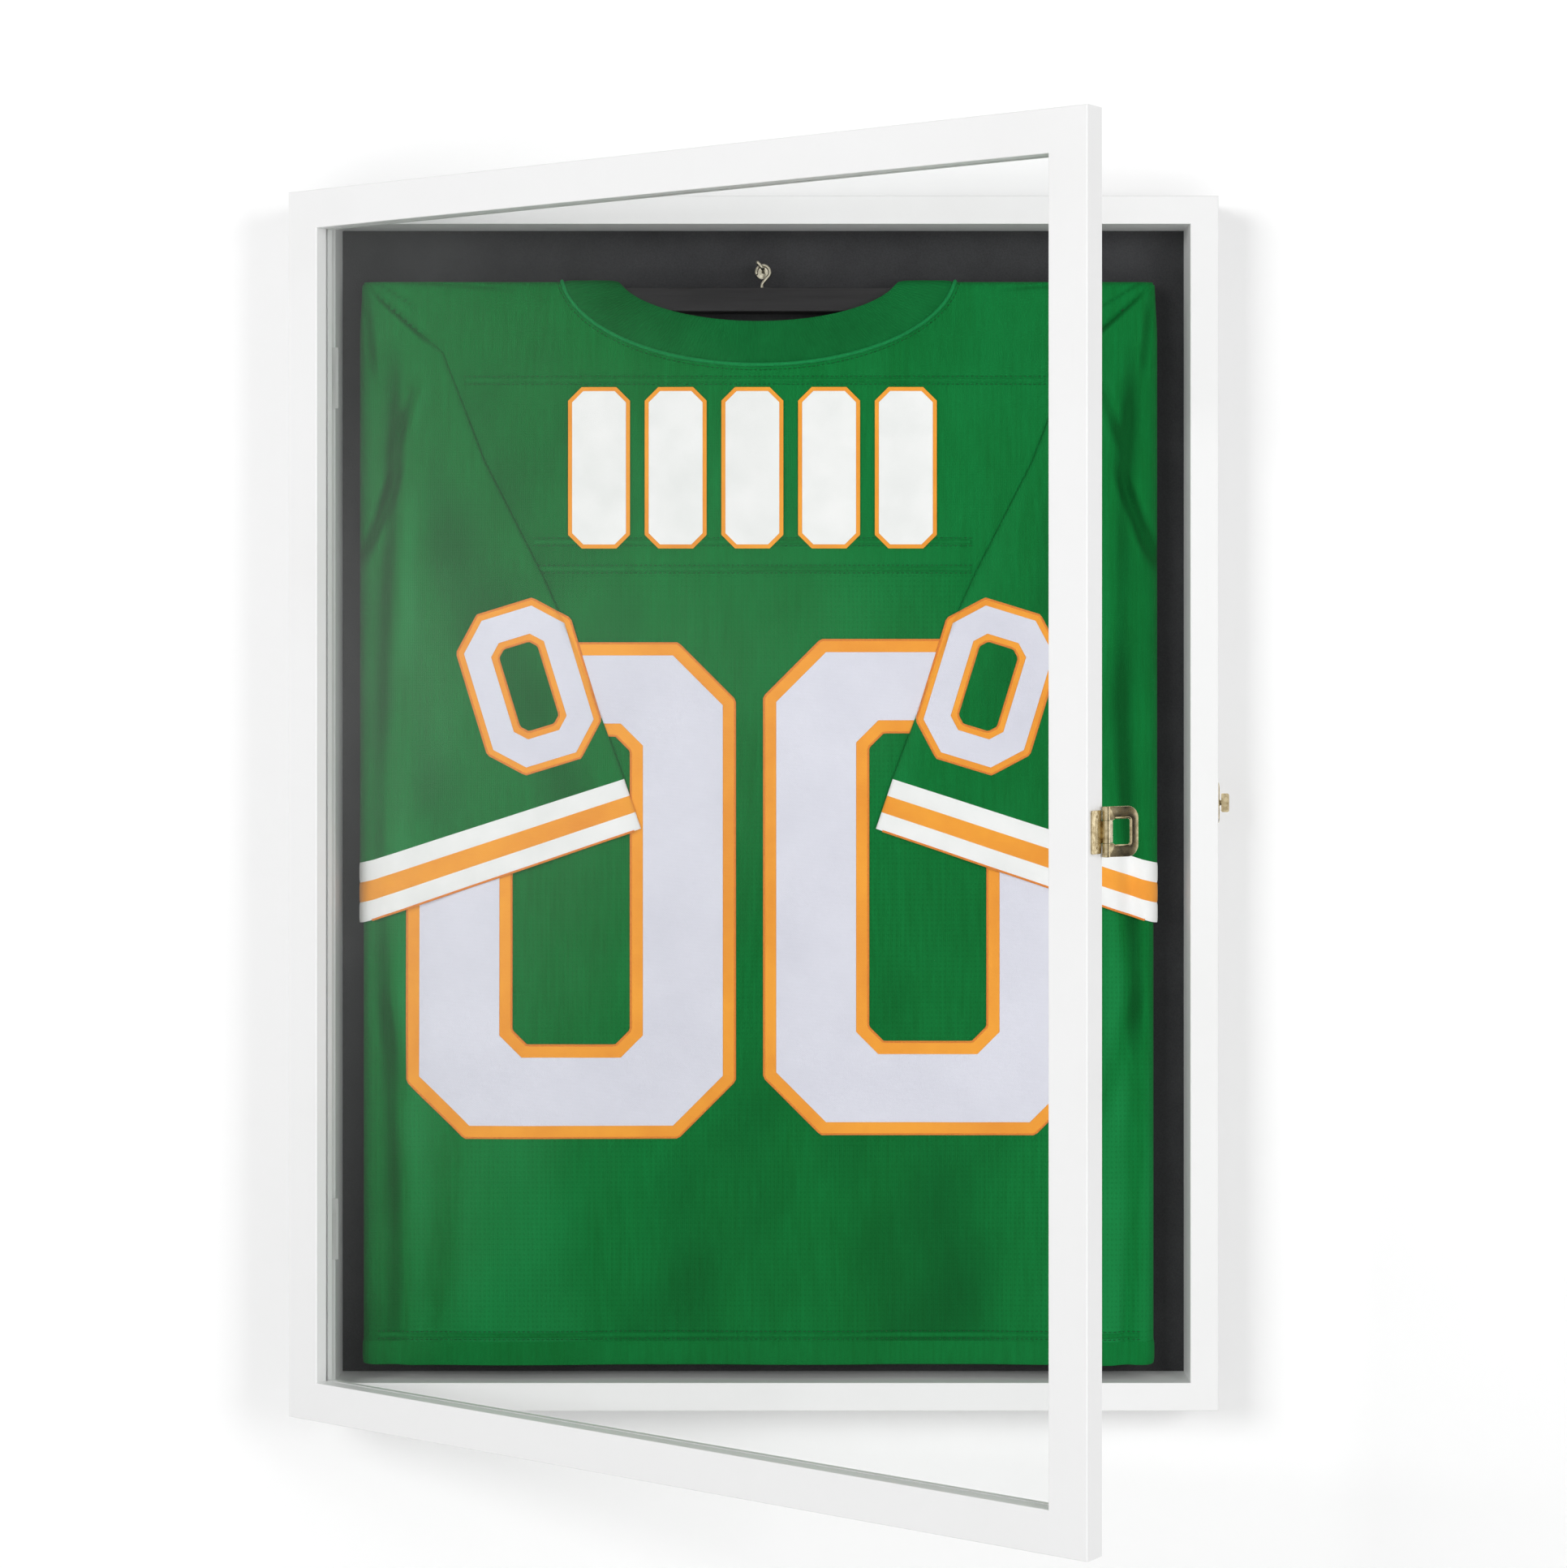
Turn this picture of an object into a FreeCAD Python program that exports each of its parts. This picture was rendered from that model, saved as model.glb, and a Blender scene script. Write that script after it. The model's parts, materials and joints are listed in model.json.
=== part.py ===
"""Wall-hung display case for a folded sports jersey, with its door standing open.

Millimetres. X runs to the right, Y into the wall, Z up. The pieces are drawn about the centre of
the case's back plane, with the door shut. The last section swings the door open about the hinge
pins and moves the whole to its own origin: the middle of the two keyhole entries, on the wall.
"""
import FreeCAD, Part
import math
import os

from FreeCAD import Vector as V

# ---- case -------------------------------------------------------------------------------------
CASE_WIDTH = 600.0
CASE_HEIGHT = 800.0
CASE_DEPTH = 44.0
CASE_RAIL_WIDTH = 18.6
CASE_RABBET = 5.0            # width of the step that takes the backing
BACK_RECESS = 3.5            # free depth behind the backing board
FELT_THICKNESS = 1.5
BOARD_THICKNESS = 3.0
BACKING_CLEARANCE = 0.5
EDGE_ROUND = 0.8             # eased arris on the lacquered wood

# ---- door -------------------------------------------------------------------------------------
DOOR_GAP = 1.0               # between the shut door and the case front
DOOR_THICKNESS = 16.0
DOOR_RAIL_WIDTH = 25.0
DOOR_LIP = 9.0               # wood in front of the pane
DOOR_RABBET = 7.0
PANE_THICKNESS = 2.0
PANE_CLEARANCE = 0.5
BEAD_THICKNESS = 4.5
DOOR_OPEN_ANGLE = 35.2       # degrees open as drawn

# ---- corner nails and backing points ----------------------------------------------------------
V_NAIL_LEG = 6.0
V_NAIL_DEPTH = 10.0
V_NAIL_THICKNESS = 0.6
POINT_LENGTH = 12.0          # along the rail
POINT_REACH = 5.0            # over the board
POINT_BITE = 3.0             # into the wood
POINT_THICKNESS = 0.5
STILE_POINT_SPACING = 250.0
RAIL_POINT_SPACING = 300.0

# ---- keyhole plates ---------------------------------------------------------------------------
KEYHOLE_DROP = 70.0          # plate centre below the case top
KEYHOLE_WIDTH = 11.0
KEYHOLE_HEIGHT = 36.0
KEYHOLE_THICKNESS = 1.5
KEYHOLE_ENTRY_RADIUS = 4.0
KEYHOLE_SLOT_WIDTH = 4.2
KEYHOLE_ENTRY_DROP = 5.0     # entry hole centre below the plate centre
KEYHOLE_SLOT_RISE = 11.0     # slot top centre above the entry hole centre
KEYHOLE_POCKET_DEPTH = 7.0
KEYHOLE_SCREW_OFFSET = 14.5

# ---- butt hinges ------------------------------------------------------------------------------
HINGE_INSET = 120.0          # hinge centre from the case's top or bottom
HINGE_HEIGHT = 40.0
HINGE_LEAF_THICKNESS = 1.2
HINGE_LEAF_OVERHANG = 1.9    # case leaf shows past the inner edge of the stile
HINGE_DOOR_LEAF_WIDTH = 20.0
HINGE_KNUCKLE_RADIUS = 2.6
HINGE_PIN_RADIUS = 1.2
HINGE_PIN_HEAD_RADIUS = 2.0
HINGE_PIN_HEAD = 1.2
HINGE_SIDE_CLEARANCE = 0.2   # knuckle to the wood beside it
HINGE_KNUCKLES = 5
KNUCKLE_GAP = 0.2
PIN_CLEARANCE = 0.05
LEAF_CLEARANCE = 0.2         # between the two leaves when shut
HINGE_SCREW_SPACING = 13.0
MORTISE_CLEARANCE = 0.1      # above and below a leaf

# ---- hasp and turn catch ----------------------------------------------------------------------
HASP_HEIGHT = 28.0
HASP_LENGTH = 22.0           # pin axis to the tip
HASP_THICKNESS = 1.0
HASP_CORNER = 7.0
HASP_HOLE_HEIGHT = 14.6
HASP_HOLE_START = 4.6        # pin axis to the near edge of the hole
HASP_HOLE_END = 16.6
HASP_HOLE_CORNER = 2.0
HASP_BASE_HEIGHT = 24.0
HASP_BASE_WIDTH = 12.5
HASP_SCREW_OFFSET = 8.6
HASP_BASE_THICKNESS = 1.0
HASP_BASE_CORNER = 1.0
HASP_SHELF_THICKNESS = 0.6
HASP_EAR_CLEARANCE = 0.3     # loop's ears to the base plate
HASP_SIDE_CLEARANCE = 0.4    # barrel to the door's side
HASP_BARREL_RADIUS = 2.2
HASP_PIN_RADIUS = 0.9
HASP_TONGUE_LENGTH = 7.0     # pin axis to the end of the base's short tongue
HASP_TONGUE_HEIGHT = 12.4
HASP_PLATE_STANDOFF = 1.9    # hasp plate above the case side when shut
HASP_OPEN_ANGLE = 24.0       # degrees swung out as drawn
CATCH_PLATE_HEIGHT = 27.0
CATCH_PLATE_WIDTH = 10.0
CATCH_PLATE_THICKNESS = 1.5
CATCH_PIN_DISTANCE = 12.4    # hasp pin to the knob axis along the depth
CATCH_SCREW_OFFSET = 10.2
KNOB_HEIGHT = 12.4
KNOB_THICKNESS = 3.8
KNOB_REACH = 5.0
KNOB_SHAFT_RADIUS = 1.7
KNOB_DOME_RADIUS = 3.2
KNOB_DOME_HEIGHT = 1.0
KNOB_GAP = 0.3               # knob blade above the hasp plate

# ---- hanger -----------------------------------------------------------------------------------
HOOK_WIRE_RADIUS = 1.15
HOOK_LOOP_RADIUS = 4.5       # wire centre line
HOOK_HEIGHT = 16.6           # above the bar
HOOK_STEM_OFFSET = -0.8
HOOK_STEM_DEPTH = 9.0        # screwed into the bar
HOOK_TAIL_ANGLE = 192.0
HOOK_JOIN_ANGLE = -40.0
HOOK_BEND_RADIUS = 3.0
PEG_RADIUS = 1.25
PEG_DROP = 27.5              # peg axis below the inside of the top rail
PEG_PAST_BAR = 5.5           # peg axis past the hook's wire
PEG_TIP_HEIGHT = 4.0
PEG_TIP_LEAN = 3.5           # to the left
PEG_BEND_RADIUS = 2.2
PEG_FLANGE_RADIUS = 5.0
PEG_FLANGE_THICKNESS = 1.0
PEG_NUT_WIDTH = 5.5
PEG_NUT_THICKNESS = 2.0
PEG_PLAY = 0.3               # hanger hook over the peg
BAR_SIZE = 16.0
BAR_ROUND = 1.0
BAR_BEHIND_FRONT = 22.0      # bar centre behind the case front

# ---- jersey -----------------------------------------------------------------------------------
JERSEY_SIDE_MARGIN = 19.4    # jersey edge to the inside of the case
JERSEY_HEM_MARGIN = 10.0     # hem to the inside of the bottom rail
JERSEY_OVER_BAR = 4.0        # shoulder fold above the bar
JERSEY_CLOTH = 1.5
JERSEY_OFFSET = -3.0         # hangs this far off the middle of the bar
JERSEY_BAR_PLAY = 0.5
JERSEY_BOTTOM_DEPTH = 14.0
BAR_END_INSET = 10.0         # bar end inside the jersey's folded side
NECK_HALF_WIDTH = 95.4
NECK_DROP = 28.0
COLLAR_HALF_WIDTH = 126.0
COLLAR_DROP = 50.5
SLEEVE_THICKNESS = 2.6
SLEEVE_LAY_GAP = 0.1         # sleeve in front of the body
SLEEVE_SHOULDER = (4.0, 2.0)       # inner edge start, from the jersey's top corner: across, down
SLEEVE_SEAM_BEND = (52.0, 46.0)
SLEEVE_EDGE_MIDDLE = (142.0, 246.0)
SLEEVE_CUFF_TOP = (173.0, 329.0)
SLEEVE_CUFF_TIP = (184.0, 365.0)
SLEEVE_CUFF_OUTER_DROP = 427.0

# ---- screws -----------------------------------------------------------------------------------
HINGE_SCREW = (2.3, 1.1, 9.0)      # head radius, shank radius, length
SMALL_SCREW = (1.6, 0.8, 7.0)
KEYHOLE_SCREW = (2.2, 1.1, 9.0)
SCREW_TIP = 1.5
RECESS_WIDTH = 0.5
RECESS_DEPTH = 0.5
RECESS_REACH = 0.5           # share of the head radius

# ---- places that follow from the sizes --------------------------------------------------------
UP, RIGHT, BACK = V(0, 0, 1), V(1, 0, 0), V(0, 1, 0)
HALF_W, HALF_H = CASE_WIDTH / 2, CASE_HEIGHT / 2
INNER_W, INNER_H = HALF_W - CASE_RAIL_WIDTH, HALF_H - CASE_RAIL_WIDTH
CASE_FRONT = -CASE_DEPTH
BOARD_BACK = -BACK_RECESS
BOARD_FRONT = BOARD_BACK - BOARD_THICKNESS
FELT_FRONT = BOARD_FRONT - FELT_THICKNESS
RABBET_WALL = CASE_RAIL_WIDTH - CASE_RABBET      # from the outer face
DOOR_BACK = CASE_FRONT - DOOR_GAP
DOOR_FRONT = DOOR_BACK - DOOR_THICKNESS
DOOR_RABBET_WALL = DOOR_RAIL_WIDTH - DOOR_RABBET
PANE_FRONT = DOOR_FRONT + DOOR_LIP
PANE_BACK = PANE_FRONT + PANE_THICKNESS
HINGE_PIN = V(-HALF_W - HINGE_KNUCKLE_RADIUS - HINGE_SIDE_CLEARANCE, CASE_FRONT - DOOR_GAP / 2, 0)
HINGE_PLACES = {"upper": HALF_H - HINGE_INSET, "lower": HINGE_INSET - HALF_H}
KEYHOLE_MIDDLE = V(0, 0, HALF_H - KEYHOLE_DROP - KEYHOLE_ENTRY_DROP)
HASP_PIN = V(HALF_W + HASP_BARREL_RADIUS + HASP_SIDE_CLEARANCE, DOOR_BACK, 0)
KNOB_AXIS_Y = HASP_PIN.y + CATCH_PIN_DISTANCE
BAR_Y = CASE_FRONT + BAR_BEHIND_FRONT
PEG_Z = INNER_H - PEG_DROP
HOOK_LOOP_Z = PEG_Z + PEG_RADIUS + PEG_PLAY - (HOOK_LOOP_RADIUS - HOOK_WIRE_RADIUS)
BAR_TOP = HOOK_LOOP_Z + HOOK_LOOP_RADIUS + HOOK_WIRE_RADIUS - HOOK_HEIGHT
JERSEY_TOP = BAR_TOP + JERSEY_OVER_BAR
JERSEY_BOTTOM = -INNER_H + JERSEY_HEM_MARGIN
JERSEY_HALF_W = INNER_W - JERSEY_SIDE_MARGIN
JERSEY_FRONT = BAR_Y - BAR_SIZE / 2 - JERSEY_BAR_PLAY - JERSEY_CLOTH
JERSEY_REAR = BAR_Y + BAR_SIZE / 2 + JERSEY_BAR_PLAY + JERSEY_CLOTH


# ---- helpers ----------------------------------------------------------------------------------
def rounded_wire(corners):
    """A closed wire through (point, radius) corners, each with a tangent arc of its radius."""
    ends, edges = [], []
    count = len(corners)
    for i, (point, radius) in enumerate(corners):
        before = (corners[i - 1][0] - point).normalize()
        after = (corners[(i + 1) % count][0] - point).normalize()
        if radius <= 0:
            ends.append((point, None, point))
            continue
        half = before.getAngle(after) / 2
        run = radius / math.tan(half)
        bisector = (before + after).normalize()
        middle = point + bisector * (radius / math.sin(half) - radius)
        ends.append((point + before * run, middle, point + after * run))
    for i, (start, middle, end) in enumerate(ends):
        if middle is not None:
            edges.append(Part.Arc(start, middle, end).toShape())
        following = ends[(i + 1) % count][0]
        if (following - end).Length > 1e-6:
            edges.append(Part.LineSegment(end, following).toShape())
    return Part.Wire(edges)


def prism(corners, along):
    """The closed outline of (point, radius) corners, pushed out along a vector."""
    return Part.Face(rounded_wire(corners)).extrude(along)


def block(x0, x1, y0, y1, z0, z1):
    return Part.makeBox(x1 - x0, y1 - y0, z1 - z0, V(x0, y0, z0))


def plate_on_side(x0, x1, y0, y1, z0, z1, corner):
    """A plate that lies on a side face, with four rounded corners seen along X."""
    outline = [(V(x0, y0, z0), corner), (V(x0, y1, z0), corner),
               (V(x0, y1, z1), corner), (V(x0, y0, z1), corner)]
    return prism(outline, V(x1 - x0, 0, 0))


def wire_rod(points, bends, radius):
    """A round rod along straight runs in one plane, with a tangent arc at each inner point."""
    edges, start = [], points[0]
    for i in range(1, len(points) - 1):
        before = (points[i - 1] - points[i]).normalize()
        after = (points[i + 1] - points[i]).normalize()
        half = before.getAngle(after) / 2
        run = bends[i - 1] / math.tan(half)
        bisector = (before + after).normalize()
        middle = points[i] + bisector * (bends[i - 1] / math.sin(half) - bends[i - 1])
        edges.append(Part.LineSegment(start, points[i] + before * run).toShape())
        edges.append(Part.Arc(points[i] + before * run, middle, points[i] + after * run).toShape())
        start = points[i] + after * run
    edges.append(Part.LineSegment(start, points[-1]).toShape())
    return sweep(edges, radius)


def sweep(edges, radius):
    path = Part.Wire(edges)
    first = edges[0]
    tangent = first.tangentAt(first.FirstParameter)
    profile = Part.Wire(Part.makeCircle(radius, first.valueAt(first.FirstParameter), tangent))
    return path.makePipeShell([profile], True, False)


def screw(place, direction, sizes):
    """(screw, blank): a countersunk screw with a cross recess, and the same without the recess.

    place is the middle of the head's flat face, and direction points out of the wood."""
    head, shank, length = sizes
    cone = head - shank
    blank = Part.makeCone(shank, head, cone, V(0, 0, -cone))
    blank = blank.fuse(Part.makeCylinder(shank, length - cone - SCREW_TIP, V(0, 0, SCREW_TIP - length)))
    blank = blank.fuse(Part.makeCone(0, shank, SCREW_TIP, V(0, 0, -length))).removeSplitter()
    reach = head * RECESS_REACH
    cross = block(-reach, reach, -RECESS_WIDTH / 2, RECESS_WIDTH / 2, -RECESS_DEPTH, 1)
    cross = cross.fuse(block(-RECESS_WIDTH / 2, RECESS_WIDTH / 2, -reach, reach, -RECESS_DEPTH, 1))
    turn = FreeCAD.Placement(place, FreeCAD.Rotation(UP, direction))
    whole, seat = blank.cut(cross), blank.copy()
    whole.Placement = turn
    seat.Placement = turn
    return whole, seat


def cut_all(shape, tools):
    """shape less every tool whose box it meets."""
    near = [t for t in tools if shape.BoundBox.intersect(t.BoundBox)]
    return shape.cut(near) if near else shape


def mitred_side(width, height, section, side):
    """One side of a mitred frame. section holds ((inwards, y), radius) corners, measured from the
    frame's outer face; side is top, bottom, left or right."""
    length = width if side in ("top", "bottom") else height
    outline = [(V(-length / 2, y, -inwards), radius) for (inwards, y), radius in section]
    bar = prism(outline, V(length, 0, 0))
    box = bar.BoundBox
    deep = box.ZLength + 1
    taper = [(V(-length / 2, box.YMin - 1, 0), 0), (V(length / 2, box.YMin - 1, 0), 0),
             (V(length / 2 - deep, box.YMin - 1, -deep), 0), (V(deep - length / 2, box.YMin - 1, -deep), 0)]
    bar = bar.common(prism(taper, V(0, box.YLength + 2, 0)))
    turn = {"top": 0, "right": 90, "bottom": 180, "left": -90}[side]
    bar.rotate(V(0, 0, 0), BACK, turn)
    shift = {"top": V(0, 0, height / 2), "bottom": V(0, 0, -height / 2),
             "left": V(-width / 2, 0, 0), "right": V(width / 2, 0, 0)}[side]
    bar.translate(shift)
    return bar


def place_on_side(shape, width, height, side):
    """Moves a shape drawn under the top side's outer face, about X = 0, to another side."""
    moved = shape.copy()
    turn = {"top": 0, "right": 90, "bottom": 180, "left": -90}[side]
    moved.rotate(V(0, 0, 0), BACK, turn)
    moved.translate({"top": V(0, 0, height / 2), "bottom": V(0, 0, -height / 2),
                     "left": V(-width / 2, 0, 0), "right": V(width / 2, 0, 0)}[side])
    return moved


def group(solids):
    return Part.makeCompound(solids)


SIDES = {"top": "top_rail", "bottom": "bottom_rail", "left": "left_stile", "right": "right_stile"}


# ---- corner nails, backing points and keyhole plates ------------------------------------------
def v_nails(rail_width, y_back, y_depth_sign):
    """A V-shaped nail across each mitre, driven in from the back of a frame."""
    nails = []
    middle = rail_width / 2
    for sx in (-1, 1):
        for sz in (-1, 1):
            corner = V(sx * (HALF_W - middle), y_back, sz * (HALF_H - middle))
            along_x = block(0, V_NAIL_LEG, 0, V_NAIL_DEPTH, -V_NAIL_THICKNESS / 2, V_NAIL_THICKNESS / 2)
            along_z = block(-V_NAIL_THICKNESS / 2, V_NAIL_THICKNESS / 2, 0, V_NAIL_DEPTH, 0, V_NAIL_LEG)
            nail = along_x.fuse(along_z).removeSplitter()
            nail = nail.mirror(V(0, 0, 0), RIGHT) if sx > 0 else nail
            nail = nail.mirror(V(0, 0, 0), UP) if sz > 0 else nail
            nail.translate(corner + V(0, -V_NAIL_DEPTH if y_depth_sign < 0 else 0, 0))
            nail.translate(V(sx * V_NAIL_LEG / 2, 0, sz * V_NAIL_LEG / 2))
            nails.append(nail)
    return nails


def backing_points():
    """Flat steel points, bitten into the rabbet wall, that hold the board from behind."""
    z_wall = -RABBET_WALL
    tab = block(-POINT_LENGTH / 2, POINT_LENGTH / 2, BOARD_BACK, BOARD_BACK + POINT_THICKNESS,
                z_wall - POINT_REACH, z_wall + POINT_BITE)
    points = []
    for side in SIDES:
        upright = side in ("left", "right")
        spots = [-STILE_POINT_SPACING, 0, STILE_POINT_SPACING] if upright else [
            -RAIL_POINT_SPACING / 2, RAIL_POINT_SPACING / 2]
        for spot in spots:
            one = tab.copy()
            one.translate(V(spot, 0, 0))
            points.append(place_on_side(one, CASE_WIDTH, CASE_HEIGHT, side))
    return points


def keyhole_plate(sign):
    """(plate, pocket, screws, blanks) for one stile; sign is -1 left and 1 right."""
    x = sign * (HALF_W - RABBET_WALL / 2)
    z = HALF_H - KEYHOLE_DROP
    half_w, half_h = KEYHOLE_WIDTH / 2, KEYHOLE_HEIGHT / 2
    corner = half_w * 0.9
    outline = [(V(x - half_w, -KEYHOLE_THICKNESS, z - half_h), corner),
               (V(x + half_w, -KEYHOLE_THICKNESS, z - half_h), corner),
               (V(x + half_w, -KEYHOLE_THICKNESS, z + half_h), corner),
               (V(x - half_w, -KEYHOLE_THICKNESS, z + half_h), corner)]
    blank_plate = prism(outline, V(0, KEYHOLE_THICKNESS, 0))
    entry_z = z - KEYHOLE_ENTRY_DROP
    slot_half = KEYHOLE_SLOT_WIDTH / 2
    start = V(x, -KEYHOLE_THICKNESS - 1, entry_z)
    hole = Part.makeCylinder(KEYHOLE_ENTRY_RADIUS, KEYHOLE_THICKNESS + 2, start, BACK)
    hole = hole.fuse(block(x - slot_half, x + slot_half, start.y, 1, entry_z, entry_z + KEYHOLE_SLOT_RISE))
    top = V(x, start.y, entry_z + KEYHOLE_SLOT_RISE)
    hole = hole.fuse(Part.makeCylinder(slot_half, KEYHOLE_THICKNESS + 2, top, BACK))
    pocket = block(x - KEYHOLE_ENTRY_RADIUS - 0.4, x + KEYHOLE_ENTRY_RADIUS + 0.4,
                   -KEYHOLE_THICKNESS - KEYHOLE_POCKET_DEPTH, -KEYHOLE_THICKNESS,
                   entry_z - KEYHOLE_ENTRY_RADIUS - 0.4, entry_z + KEYHOLE_SLOT_RISE + KEYHOLE_ENTRY_RADIUS)
    pairs = [screw(V(x, 0, z + s * KEYHOLE_SCREW_OFFSET), BACK, KEYHOLE_SCREW) for s in (-1, 1)]
    blanks = [b for _, b in pairs]
    return cut_all(blank_plate.cut(hole), blanks), blank_plate.fuse(pocket), [s for s, _ in pairs], blanks


# ---- hinges -----------------------------------------------------------------------------------
def hinge(z):
    """(case_leaf, door_leaf, pin, mortises, screws, blanks) of a butt hinge centred at height z."""
    low, high = z - HINGE_HEIGHT / 2, z + HINGE_HEIGHT / 2
    step = HINGE_HEIGHT / HINGE_KNUCKLES
    half_gap = LEAF_CLEARANCE / 2
    case_leaf_x = -INNER_W + HINGE_LEAF_OVERHANG
    door_leaf_x = HINGE_PIN.x + HINGE_DOOR_LEAF_WIDTH
    case_y = (HINGE_PIN.y + half_gap, HINGE_PIN.y + half_gap + HINGE_LEAF_THICKNESS)
    door_y = (HINGE_PIN.y - half_gap - HINGE_LEAF_THICKNESS, HINGE_PIN.y - half_gap)
    case_leaf = block(-HALF_W, case_leaf_x, *case_y, low, high)
    door_leaf = block(-HALF_W, door_leaf_x, *door_y, low, high)
    for i in range(HINGE_KNUCKLES):
        z0, z1 = low + i * step + KNUCKLE_GAP / 2, low + (i + 1) * step - KNUCKLE_GAP / 2
        barrel = Part.makeCylinder(HINGE_KNUCKLE_RADIUS, z1 - z0, V(HINGE_PIN.x, HINGE_PIN.y, z0))
        if i % 2 == 0:
            neck = block(HINGE_PIN.x, -HALF_W, *case_y, z0, z1)
            case_leaf = case_leaf.fuse([barrel, neck])
        else:
            neck = block(HINGE_PIN.x, -HALF_W, *door_y, z0, z1)
            door_leaf = door_leaf.fuse([barrel, neck])
    bore = V(HINGE_PIN.x, HINGE_PIN.y, low - 1)
    case_leaf = case_leaf.removeSplitter().cut(Part.makeCylinder(HINGE_PIN_RADIUS, HINGE_HEIGHT + 2, bore))
    door_leaf = door_leaf.removeSplitter().cut(
        Part.makeCylinder(HINGE_PIN_RADIUS + PIN_CLEARANCE, HINGE_HEIGHT + 2, bore))
    pin = Part.makeCylinder(HINGE_PIN_RADIUS, HINGE_HEIGHT, V(HINGE_PIN.x, HINGE_PIN.y, low))
    head = Part.makeCylinder(HINGE_PIN_HEAD_RADIUS, HINGE_PIN_HEAD, V(HINGE_PIN.x, HINGE_PIN.y, high - KNUCKLE_GAP / 2))
    pin = pin.fuse(head).removeSplitter()
    mortise_low, mortise_high = low - MORTISE_CLEARANCE, high + MORTISE_CLEARANCE
    case_mortise = block(-HALF_W - 1, -INNER_W + 1, CASE_FRONT - 1, case_y[1], mortise_low, mortise_high)
    door_mortise = block(-HALF_W - 1, door_leaf_x, door_y[0], DOOR_BACK + 1, mortise_low, mortise_high)
    case_pairs, door_pairs = [], []
    for s in (-1, 0, 1):
        spot = z + s * HINGE_SCREW_SPACING
        inwards = CASE_RAIL_WIDTH * (0.36 if s else 0.68)
        case_pairs.append(screw(V(-HALF_W + inwards, case_y[0], spot), -BACK, HINGE_SCREW))
        door_pairs.append(screw(V(-HALF_W + inwards, door_y[1], spot), BACK, HINGE_SCREW))
    case_leaf = cut_all(case_leaf, [b for _, b in case_pairs])
    door_leaf = cut_all(door_leaf, [b for _, b in door_pairs])
    return case_leaf, door_leaf, pin, (case_mortise, door_mortise), (case_pairs, door_pairs)


# ---- hasp and turn catch ----------------------------------------------------------------------
def hasp_parts():
    """(base, pin, loop, screws, blanks) with the door and the hasp shut."""
    side = HALF_W
    pin_x, pin_y = HASP_PIN.x, HASP_PIN.y
    middle = HASP_TONGUE_HEIGHT / 2
    half = HASP_HEIGHT / 2
    base_half = HASP_BASE_HEIGHT / 2
    base_end = pin_y - HASP_BARREL_RADIUS - HASP_EAR_CLEARANCE
    base = plate_on_side(side, side + HASP_BASE_THICKNESS, pin_y - HASP_BASE_WIDTH, base_end,
                         -base_half, base_half, HASP_BASE_CORNER)
    bridge = block(side, side + HASP_BASE_THICKNESS, base_end - HASP_BASE_CORNER, pin_y, -middle, middle)
    shelf = block(side, pin_x, pin_y - HASP_SHELF_THICKNESS, pin_y, -middle, middle)
    barrel = Part.makeCylinder(HASP_BARREL_RADIUS, 2 * middle, V(pin_x, pin_y, -middle))
    plate_x0 = side + HASP_PLATE_STANDOFF
    plate_x1 = plate_x0 + HASP_THICKNESS
    tongue = block(plate_x0, plate_x1, pin_y, pin_y + HASP_TONGUE_LENGTH, -middle, middle)
    base = base.fuse([bridge, shelf, barrel, tongue]).removeSplitter()
    base = base.cut(Part.makeCylinder(HASP_PIN_RADIUS, HASP_HEIGHT, V(pin_x, pin_y, -half)))
    outline = [(V(plate_x0, pin_y, -half), 0), (V(plate_x0, pin_y + HASP_LENGTH, -half), HASP_CORNER),
               (V(plate_x0, pin_y + HASP_LENGTH, half), HASP_CORNER), (V(plate_x0, pin_y, half), 0)]
    loop = prism(outline, V(HASP_THICKNESS, 0, 0))
    hole_half = HASP_HOLE_HEIGHT / 2
    loop = loop.cut(plate_on_side(plate_x0 - 1, plate_x1 + 1, pin_y + HASP_HOLE_START,
                                  pin_y + HASP_HOLE_END, -hole_half, hole_half, HASP_HOLE_CORNER))
    loop = loop.cut(block(side - 1, plate_x1 + HASP_BARREL_RADIUS, pin_y - 1, pin_y + HASP_HOLE_START + HASP_HOLE_CORNER,
                          -middle - KNUCKLE_GAP, middle + KNUCKLE_GAP))
    for low in (-half, middle + KNUCKLE_GAP):
        ear = Part.makeCylinder(HASP_BARREL_RADIUS, half - middle - KNUCKLE_GAP, V(pin_x, pin_y, low))
        loop = loop.fuse(ear)
    loop = loop.removeSplitter()
    loop = loop.cut(Part.makeCylinder(HASP_PIN_RADIUS + PIN_CLEARANCE, HASP_HEIGHT + 2, V(pin_x, pin_y, -half - 1)))
    pin = Part.makeCylinder(HASP_PIN_RADIUS, HASP_HEIGHT, V(pin_x, pin_y, -half))
    screw_y = (base_end + pin_y - HASP_BASE_WIDTH) / 2
    pairs = [screw(V(side + HASP_BASE_THICKNESS, screw_y, s * HASP_SCREW_OFFSET), RIGHT, SMALL_SCREW)
             for s in (-1, 1)]
    base = cut_all(base, [b for _, b in pairs])
    return base, pin, loop, [s for s, _ in pairs], [b for _, b in pairs]


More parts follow.
